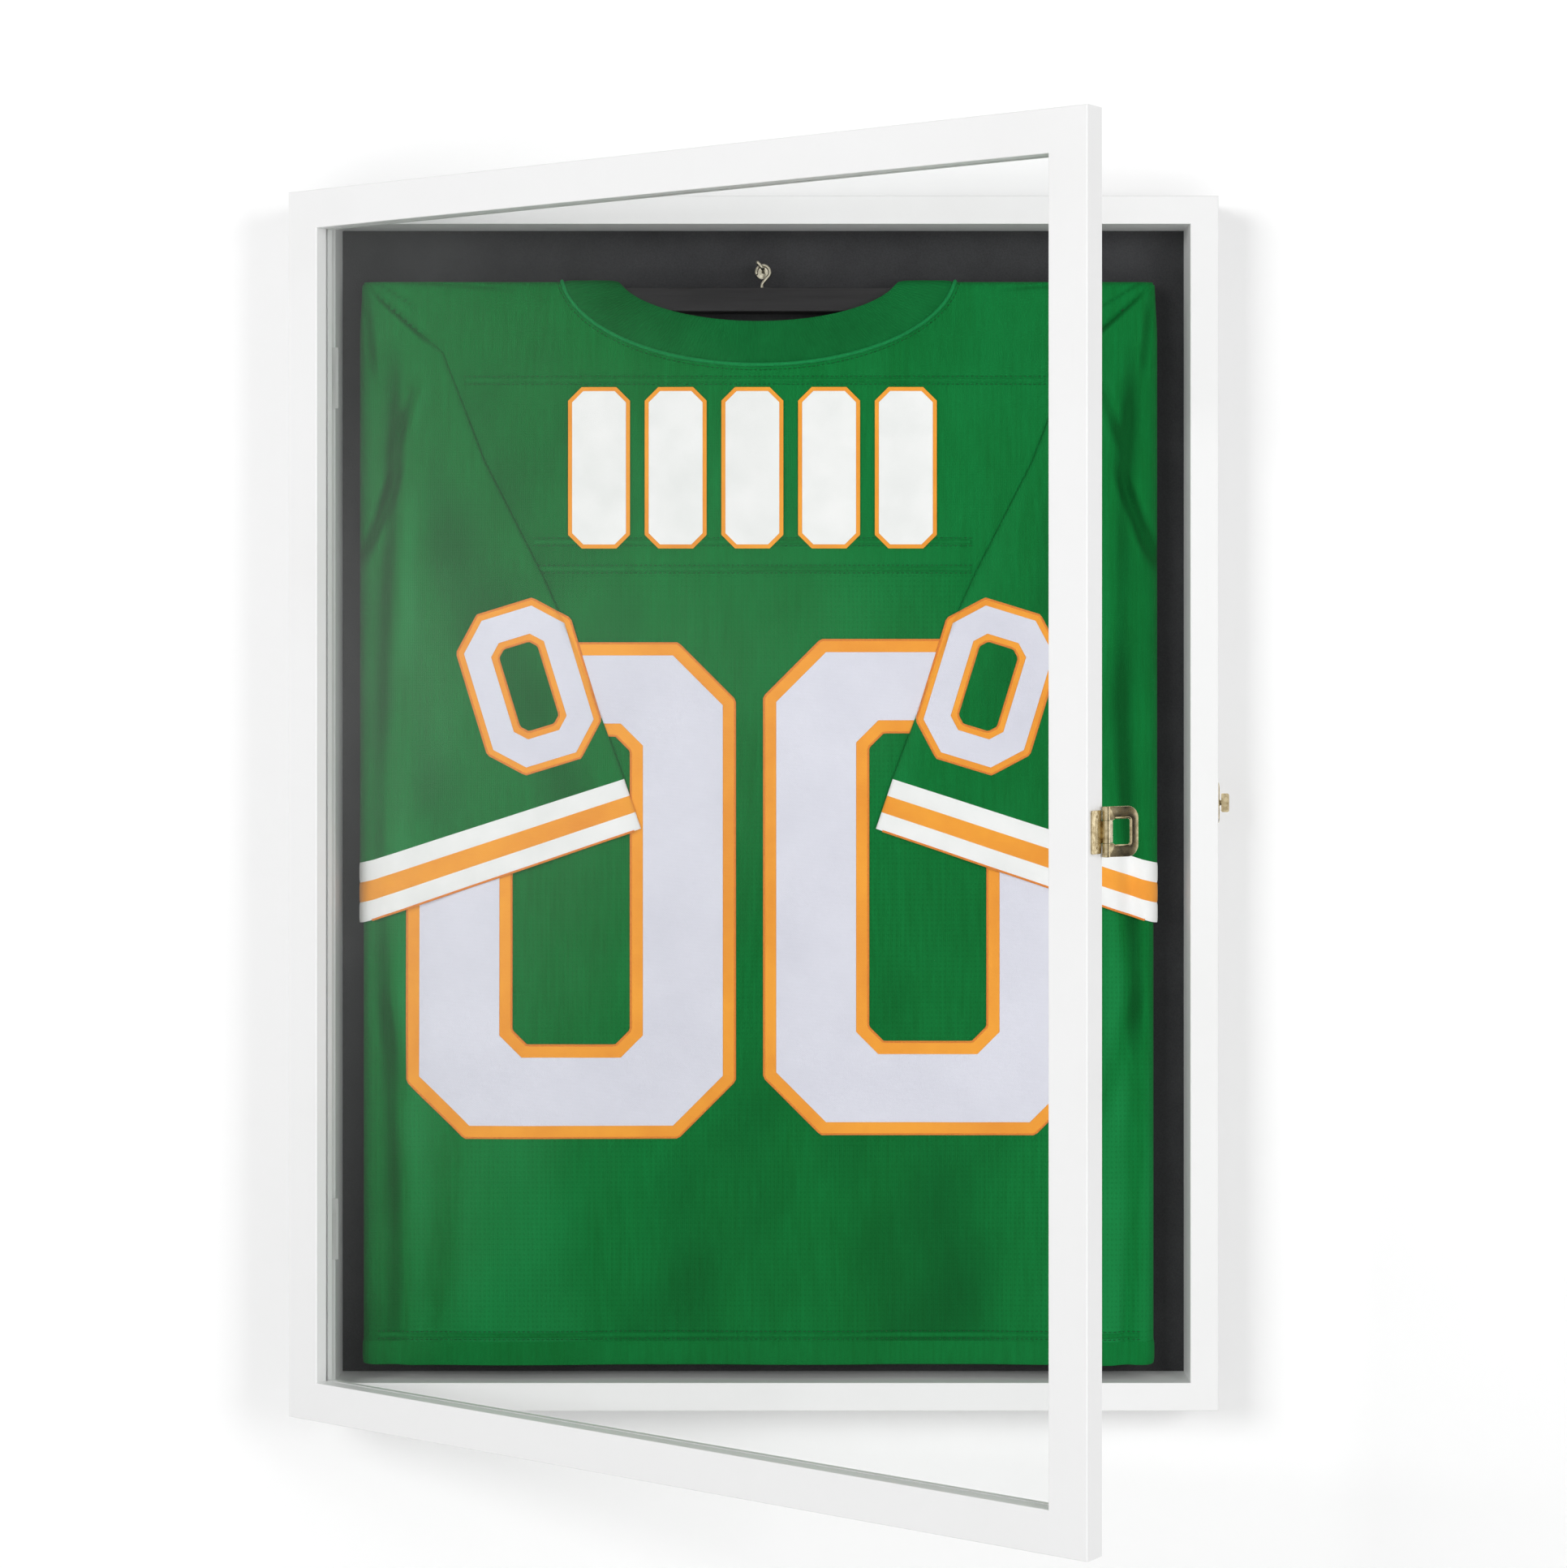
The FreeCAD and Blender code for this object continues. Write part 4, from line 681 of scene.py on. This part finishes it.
RING_STEPS, BAND_STEPS = 220, 13
angle = np.linspace(0, 2 * math.pi, RING_STEPS + 1)[:, None]
share = np.linspace(0, 1, BAND_STEPS)[None, :]
inner_x, inner_down = neck_ring(NECK_HALF, NECK_DROP, REAR_NECK_DROP, angle)
outer_x, outer_down = neck_ring(COLLAR_HALF, COLLAR_DROP, REAR_COLLAR_DROP, angle)
x, down = inner_x + share * (outer_x - inner_x), inner_down + share * (outer_down - inner_down)
crown = (1 - (2 * share - 1) ** 6) * 0.8 * MM
step = np.hypot(np.diff(outer_x[:, 0]), np.diff(outer_down[:, 0]))
length = np.concatenate([[0], np.cumsum(step)])[:, None]
collar = slab("shirt_collar", on_shirt(x, down, 0.7 * MM + crown)[:-1],
              on_shirt(x, down, -0.9 * MM - crown / 2)[:-1], rib, True,
              (length + 0 * share, share * 30 * MM + 0 * length))
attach(collar, "hanger")
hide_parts("jersey_collar")

# ---- Seams, hems and stitches -----------------------------------------------------------------
# The yoke is lined, so one seam crosses above the name and two run below it. A binding covers the
# collar's edge, and the hem is turned up under one more seam. All are sewn with green thread.
thread, tree, body = new_material("green_thread", Base_Color=(0.003, 0.085, 0.018, 1), Roughness=0.6)
strand = noise(tree, object_place(tree), 2500.0, 2.0)
tree.links.new(clamped(tree, strand, 0.3, 0.7, 0.4, 0.6), body.inputs["Roughness"])
gold_thread, tree, body = new_material("orange_thread", Roughness=0.42, Sheen_Weight=0.3)
strand = noise(tree, object_place(tree), 1800.0, 2.0)
tree.links.new(mixed(tree, clamped(tree, strand, 0.35, 0.65), (0.62, 0.16, 0.012, 1), (0.80, 0.26, 0.025, 1)),
               body.inputs["Base Color"])


def even(x, down, pitch, closed=False):
    """Points that far apart along a path, as x, down and the path's direction at each."""
    if closed:
        x, down = np.append(x, x[0]), np.append(down, down[0])
    length = np.concatenate([[0], np.cumsum(np.hypot(np.diff(x), np.diff(down)))])
    count = max(int(round(length[-1] / pitch)), 2)
    at = (np.arange(count) + 0.5) / count * length[-1]
    ahead = np.minimum(at + pitch / 4, length[-1])
    back = np.maximum(at - pitch / 4, 0)
    toward = np.stack([np.interp(ahead, length, x) - np.interp(back, length, x),
                       np.interp(ahead, length, down) - np.interp(back, length, down)], -1)
    toward = toward / np.linalg.norm(toward, axis=1, keepdims=True)
    return np.interp(at, length, x), np.interp(at, length, down), toward


def bead(name, x, down, out, width, height, material, closed=False, pitch=3 * MM, stand=folds):
    """A half-round ridge laid along a path."""
    at_x, at_down, toward = even(x, down, pitch, closed)
    turn = np.linspace(0, math.pi, 7)
    off = -np.cos(turn) * width / 2
    grid_x = at_x[:, None] - toward[:, 1:] * off
    grid_down = at_down[:, None] + toward[:, :1] * off
    lift = out(grid_x, grid_down) if callable(out) else out
    top = on_shirt(grid_x, grid_down, lift + np.sin(turn) * height, stand)
    return slab(name, top, on_shirt(grid_x, grid_down, lift - 0.15 * MM, stand), material, closed)


STITCH = np.array([(-1, 0, 0), (1, 0, 0), (0, -1, 0), (0, 1, 0), (0, 0, 1), (0, 0, -0.6)], float)
STITCH_FACES = np.array([(0, 2, 4), (2, 1, 4), (1, 3, 4), (3, 0, 4),
                         (2, 0, 5), (1, 2, 5), (3, 1, 5), (0, 3, 5)])
STITCH_PITCH = 3.2 * MM
STITCH_LONG, STITCH_WIDE, STITCH_HIGH = 1.25 * MM, 0.32 * MM, 0.30 * MM


def stitches(name, paths, out, material):
    """Rows of stitches, each a small lens on the cloth."""
    parts = []
    for path_x, path_down in paths:
        at_x, at_down, toward = even(path_x, path_down, STITCH_PITCH)
        along, side = STITCH[None, :, 0] * STITCH_LONG, STITCH[None, :, 1] * STITCH_WIDE
        grid_x = at_x[:, None] + toward[:, :1] * along - toward[:, 1:] * side
        grid_down = at_down[:, None] + toward[:, 1:] * along + toward[:, :1] * side
        parts.append(on_shirt(grid_x, grid_down, out + STITCH[None, :, 2] * STITCH_HIGH))
    points = np.concatenate(parts)
    faces = STITCH_FACES[None] + 6 * np.arange(len(points))[:, None, None]
    first = points[0][STITCH_FACES[0]]
    if np.dot(np.cross(first[1] - first[0], first[2] - first[0]), first.mean(0) - points[0].mean(0)) < 0:
        faces = faces[:, :, ::-1]
    return mesh_object(name, points, [faces.reshape(-1, 3)], material)


def level_path(z, left, right):
    """A path straight across the front at that height."""
    x = np.linspace(left, right, 80)
    return x, np.full(80, down_at(z))


YOKE_Z, YOKE_SPAN = -45.0 * MM, (-199 * MM, 188 * MM)
CHEST_Z, CHEST_SPAN = (-152.0 * MM, -170.0 * MM), (-153 * MM, 139 * MM)
HEM_FOLD = 15.4 * MM
SEAM_OUT = CLOTH / 2
seam_paths = [level_path(YOKE_Z, *YOKE_SPAN)] + [level_path(z, *CHEST_SPAN) for z in CHEST_Z]
seam_paths.append(level_path(SHIRT_HEM + HEM_FOLD + 4 * MM, SHIRT_MIDDLE - SHIRT_HALF + 9 * MM,
                             SHIRT_MIDDLE + SHIRT_HALF - 9 * MM))
angle = np.linspace(0.06, math.pi - 0.06, 160)
collar_path = neck_ring(COLLAR_HALF + 1.2 * MM, COLLAR_DROP + 1.4 * MM, REAR_COLLAR_DROP, angle)
# The collar seam is drawn in the paler tricot, a painted highlight along its ridge.
collar_seam = bead("shirt_collar_seam", *collar_path, SEAM_OUT - 0.1 * MM, 2.8 * MM, 1.7 * MM, knit_painted_highlight)
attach(collar_seam, "hanger")
for number, path in enumerate(seam_paths):
    ridge = bead("shirt_seam_" + str(number + 1), *path, SEAM_OUT - 0.1 * MM, 3.2 * MM, 0.85 * MM, knit_plain)
    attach(ridge, "hanger")
stitch_paths = [(x, down + step * MM) for x, down in seam_paths for step in (-2.6, 2.6)]
stitch_paths.append(neck_ring(COLLAR_HALF + 4.4 * MM, COLLAR_DROP + 4.8 * MM, REAR_COLLAR_DROP, angle))
stitch_paths.append(level_path(SHIRT_HEM + HEM_FOLD - 1.6 * MM, SHIRT_MIDDLE - SHIRT_HALF + 6 * MM,
                               SHIRT_MIDDLE + SHIRT_HALF - 6 * MM))
sewing = stitches("shirt_stitches", stitch_paths, SEAM_OUT + 0.1 * MM, thread)
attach(sewing, "hanger")

roll_start = SHIRT_HALF - SIDE_ROUND
roll = roll_start + SIDE_ROUND * np.sin(np.linspace(0, math.pi / 2, 9))
reach = np.concatenate([np.arange(0, roll_start, 5.2 * MM), roll])
x = SHIRT_MIDDLE + np.concatenate([-reach[:0:-1], reach])[None, :]
for side, name in ((1, "front"), (-1, "rear")):
    share = np.linspace(0, 1, 7)[:, None]
    down = side * (down_at(SHIRT_HEM) - HEM_FOLD * (1 - share))
    swell = (1 - (2 * share - 1) ** 4) * 0.55 * MM
    hem = slab("shirt_hem_" + name, on_shirt(x, down, CLOTH / 2 + 0.15 * MM + swell),
               on_shirt(x, down, CLOTH / 2 - 0.2 * MM), knit_plain)
    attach(hem, "hanger")

# ---- Sleeves ----------------------------------------------------------------------------------
# Each sleeve is a flat tube folded in over the front, wide at the shoulder and narrow at the cuff.
# Its edge stands proud of the shirt as a soft roll. The cuff ends in three sewn stripes.
INNER_EDGE = np.array([(4, 2), (13, 12), (53, 46.6), (80.7, 119), (118.8, 193.8), (142.5, 246.4),
                       (172.5, 326.9), (184.3, 361.8)]) * MM
EDGE_SHARE = np.array([0, 0.03, 0.15, 0.33, 0.53, 0.68, 0.90, 1.0])
CUFF_DOWN = 424.6 * MM
SLEEVE_ROLL = 5.5 * MM
SLEEVE_STAND = 2.3 * MM
STRIPE_START = 0.906
SLEEVE_TOP = float(down_at(SHIRT_TOP))


def sleeve_place(share, across, side):
    """(x, down) on a sleeve: share runs from shoulder to cuff, across from its outer to inner edge."""
    reach = np.interp(share, EDGE_SHARE, INNER_EDGE[:, 0])
    inner = np.interp(share, EDGE_SHARE, INNER_EDGE[:, 1])
    outer = 2 * MM + (CUFF_DOWN - 2 * MM) * share
    return SHIRT_MIDDLE + side * (SHIRT_HALF - across * reach), SLEEVE_TOP + outer + across * (inner - outer)


def sleeve_out(x, down):
    """How far a sleeve's top stands out: full inside, and rounded off over the last few millimetres
    to its inner edge."""
    across = SHIRT_HALF - np.abs(x - SHIRT_MIDDLE)
    gap = np.interp(down - SLEEVE_TOP, INNER_EDGE[:, 1], INNER_EDGE[:, 0]) - across
    curl = np.sqrt(1 - (1 - np.clip(gap / SLEEVE_ROLL, 0, 1)) ** 2)
    grown = rise(down, 6 * MM, 46 * MM)
    return CLOTH / 2 + 0.15 * MM + (0.35 + 0.65 * grown) * SLEEVE_STAND * curl


def sleeve_folds(x, down):
    """The shirt's own folds, with long soft waves down the sleeve."""
    across = SHIRT_HALF - np.abs(x - SHIRT_MIDDLE)
    wave = 0.9 * MM * np.sin((across * 0.93 - down * 0.42) / (13 * MM)) * rise(down, 30 * MM, 120 * MM)
    return folds(x, down) + wave * rise(across, 4 * MM, 30 * MM)


def twill(name, rough, patches, clean, soiled):
    """Woven twill: fine slanting ribs, and a colour that is a little soiled in soft patches."""
    made, tree, body = new_material(name, Roughness=rough, Sheen_Weight=0.15)
    place = object_place(tree)
    axes = add(tree, "SeparateXYZ", Vector=place)
    slope = sums(tree, "ADD", axes.outputs["X"], sums(tree, "MULTIPLY", axes.outputs["Z"], 0.8))
    ribs = sums(tree, "SINE", sums(tree, "MULTIPLY", slope, 2 * math.pi / (1.1 * MM)))
    soil = noise(tree, place, patches, 4.0, 0.6)
    tree.links.new(mixed(tree, clamped(tree, soil, 0.35, 0.7), clean, soiled), body.inputs["Base Color"])
    bumped(tree, body, ribs, 0.00008, 0.4)
    return made, tree, body, soil


twill_white, tree, body, soil = twill("white_tackle_twill", 0.55, 13.0, (0.715, 0.715, 0.80, 1),
                                      (0.66, 0.66, 0.745, 1))
tree.links.new(clamped(tree, soil, 0.3, 0.7, 0.46, 0.62), body.inputs["Roughness"])
twill_gold = twill("gold_tackle_twill", 0.5, 21.0, (0.90, 0.36, 0.030, 1), (0.80, 0.28, 0.022, 1))[0]

stripe_white, tree, body = new_material("white_stripe_knit", Roughness=0.65, Sheen_Weight=0.2)
cloud = noise(tree, object_place(tree), 30.0, 4.0, 0.6)
tree.links.new(mixed(tree, clamped(tree, cloud, 0.35, 0.7), (0.88, 0.88, 0.875, 1), (0.80, 0.81, 0.80, 1)),
               body.inputs["Base Color"])
bumped(tree, body, noise(tree, object_place(tree), 1400.0, 2.0), 0.0001, 0.5)

quarter = np.linspace(0, math.pi / 2, 12)
curl = np.concatenate([0.055 * (1 - np.cos(quarter)), np.linspace(0.055, 0.88, 66)[1:-1],
                       0.88 + 0.12 * np.sin(quarter)])
sleeves = {}
for side, name in ((-1, "left"), (1, "right")):
    share = np.linspace(0, STRIPE_START, 180)[:, None]
    x, down = sleeve_place(share, curl[None, :], side)
    lift = sleeve_out(x, down)
    sleeve = slab("sleeve_" + name, on_shirt(x, down, lift, sleeve_folds),
                  on_shirt(x, down, CLOTH / 2 + 0.05 * MM, sleeve_folds), knit_plain)
    keep_height(sleeve, x, down, sleeve_folds)
    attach(sleeve, "hanger")
    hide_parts("jersey_sleeve_" + name)
    stripes = []
    for number, cloth in enumerate((stripe_white, twill_gold, stripe_white)):
        width = (1 - STRIPE_START) / 3
        share = STRIPE_START + width * (number + np.linspace(0.0, 1.0, 9))[:, None]
        x, down = sleeve_place(share, curl[None, :], side)
        swell = (1 - (2 * np.linspace(0, 1, 9)[:, None] - 1) ** 6) * 0.35 * MM
        stripe = slab("sleeve_" + name + "_stripe_" + str(number + 1),
                      on_shirt(x, down, sleeve_out(x, down) + swell, sleeve_folds),
                      on_shirt(x, down, CLOTH / 2 + 0.05 * MM, sleeve_folds), cloth)
        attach(stripe, "hanger")
        stripes.append(stripe)
    across = np.linspace(0.03, 0.985, 90)
    cuff = bead("sleeve_" + name + "_cuff_edge", *sleeve_place(1.0, across, side), sleeve_out,
                1.5 * MM, 0.5 * MM, gold_thread, stand=sleeve_folds)
    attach(cuff, "hanger")
    sleeves[side] = (sleeve, stripes)

# ---- Numerals ---------------------------------------------------------------------------------
# Block zeros, cut from white twill, laid on a wider gold one and both sewn to the cloth, with a
# satin edge of orange thread. The sleeves' are small ones in the same style.
BIG_WIDTH, BIG_HEIGHT, BIG_CORNER, BIG_EDGE = 216.6 * MM, 327.0 * MM, 37.6 * MM, 8.0 * MM
BIG_HOLE = (79 * MM, 205 * MM, 10 * MM)
BIG_PLACES = ((-126.9 * MM, -382.7 * MM), (109.1 * MM, -380.5 * MM))
SMALL_WIDTH, SMALL_HEIGHT, SMALL_CORNER, SMALL_EDGE = 78 * MM, 110 * MM, 20 * MM, 4.3 * MM
SMALL_HOLE = (28 * MM, 58 * MM, 5 * MM)
SMALL_PLACES = ((-154.8 * MM, -247.7 * MM, -17.0), (149.0 * MM, -247.7 * MM, 17.0))
CORNER_SHARE = 0.586         # a 45 degree corner's cut shrinks by this share of an even inset


def block(width, height, corner, steps=24):
    """Points round a rectangle with cut corners, the same count on each straight."""
    half_w, half_h = width / 2, height / 2
    corners = np.array([(half_w, half_h - corner), (half_w - corner, half_h), (corner - half_w, half_h),
                        (-half_w, half_h - corner), (-half_w, corner - half_h), (corner - half_w, -half_h),
                        (half_w - corner, -half_h), (half_w, corner - half_h)])
    part = np.linspace(0, 1, steps, endpoint=False)[:, None]
    return np.concatenate([a + part * (b - a) for a, b in zip(corners, np.roll(corners, -1, 0))])


def placed(points, spot):
    """(x, down) of points drawn about a numeral's own centre, tilted by the spot's angle."""
    tilt = math.radians(spot[2] if len(spot) > 2 else 0.0)
    u, v = points[..., 0], points[..., 1]
    return (spot[0] + u * math.cos(tilt) + v * math.sin(tilt),
            down_at(spot[1]) - (v * math.cos(tilt) - u * math.sin(tilt)))


def zero(name, spot, size, hole, out, thick, material, stand):
    """A flat block zero: a band between its outer and inner outlines."""
    outer, inner = block(*size), block(*hole)
    share = np.linspace(0, 1, 27)[None, :, None]
    x, down = placed(inner[:, None] + share * (outer - inner)[:, None], spot)
    lift = out(x, down) if callable(out) else out
    return slab(name, on_shirt(x, down, lift + thick, stand), on_shirt(x, down, lift - 0.1 * MM, stand),
                material, True)


def numeral(name, spot, width, height, corner, edge, hole, out, stand):
    """A sewn zero: gold under, white over, and a satin line round both outlines of the gold."""
    def above(step):
        return (lambda x, down: out(x, down) + step) if callable(out) else out + step
    gold = zero(name + "_gold", spot, (width, height, corner), hole, out, 0.35 * MM, twill_gold, stand)
    inside = (width - 2 * edge, height - 2 * edge, corner - edge * CORNER_SHARE)
    wide_hole = (hole[0] + 2 * edge, hole[1] + 2 * edge, hole[2] + edge * CORNER_SHARE)
    white = zero(name + "_white", spot, inside, wide_hole, above(0.35 * MM), 0.4 * MM, twill_white, stand)
    made = [gold, white]
    for label, outline in (("outer", (width, height, corner)), ("inner", hole)):
        line = block(*outline, 40)
        made.append(bead(name + "_satin_" + label, *placed(line, spot), out, 1.6 * MM, 0.62 * MM,
                         gold_thread, True, 2.5 * MM, stand))
    for piece in made:
        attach(piece, "hanger")


for name, spot in zip(("left", "right"), BIG_PLACES):
    numeral("numeral_" + name, spot, BIG_WIDTH, BIG_HEIGHT, BIG_CORNER, BIG_EDGE, BIG_HOLE,
            CLOTH / 2 + 0.25 * MM, folds)
for name, spot in zip(("left", "right"), SMALL_PLACES):
    numeral("sleeve_numeral_" + name, spot, SMALL_WIDTH, SMALL_HEIGHT, SMALL_CORNER, SMALL_EDGE,
            SMALL_HOLE, sleeve_out, sleeve_folds)

# ---- Name block -------------------------------------------------------------------------------
# Five plain plates of white twill with a thin gold edge, where a player's name would be.
NAME_LEFT, NAME_RIGHT, NAME_TOP, NAME_BOTTOM = -129 * MM, 115 * MM, -49.6 * MM, -156.4 * MM
NAME_COUNT, NAME_GAP, NAME_EDGE, NAME_CORNER = 5, 9.75 * MM, 2.7 * MM, 9.0 * MM


def plate(name, centre, width, height, corner, out, thick, material):
    """A rectangle of cloth with cut corners. Each row is narrower by what the corners take off."""
    v = np.concatenate([np.linspace(-height / 2, -height / 2 + corner, 6), np.linspace(
        corner - height / 2, height / 2 - corner, 22)[1:-1], np.linspace(height / 2 - corner, height / 2, 6)])
    half_w = width / 2 - np.maximum(np.abs(v) - (height / 2 - corner), 0)
    x = centre[0] + half_w[:, None] * np.linspace(-1, 1, 13)[None, :]
    down = down_at(centre[1]) + v[:, None] + 0 * x
    return slab(name, on_shirt(x, down, out + thick), on_shirt(x, down, out - 0.1 * MM), material)


plate_width = (NAME_RIGHT - NAME_LEFT - (NAME_COUNT - 1) * NAME_GAP) / NAME_COUNT
for number in range(NAME_COUNT):
    centre = (NAME_LEFT + plate_width / 2 + number * (plate_width + NAME_GAP), (NAME_TOP + NAME_BOTTOM) / 2)
    tall = NAME_TOP - NAME_BOTTOM
    label = "name_plate_" + str(number + 1)
    under = plate(label + "_gold", centre, plate_width, tall, NAME_CORNER,
                  CLOTH / 2 + 0.6 * MM, 0.3 * MM, twill_gold)
    over = plate(label + "_white", centre, plate_width - 2 * NAME_EDGE, tall - 2 * NAME_EDGE,
                 NAME_CORNER - NAME_EDGE * CORNER_SHARE, CLOTH / 2 + 0.9 * MM, 0.35 * MM, stripe_white)
    for piece in (under, over):
        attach(piece, "hanger")

# ---- Each sleeve and its stripes, looked up by side -------------------------------------------
for side in (-1, 1):
    sleeve, stripes = sleeves[side]
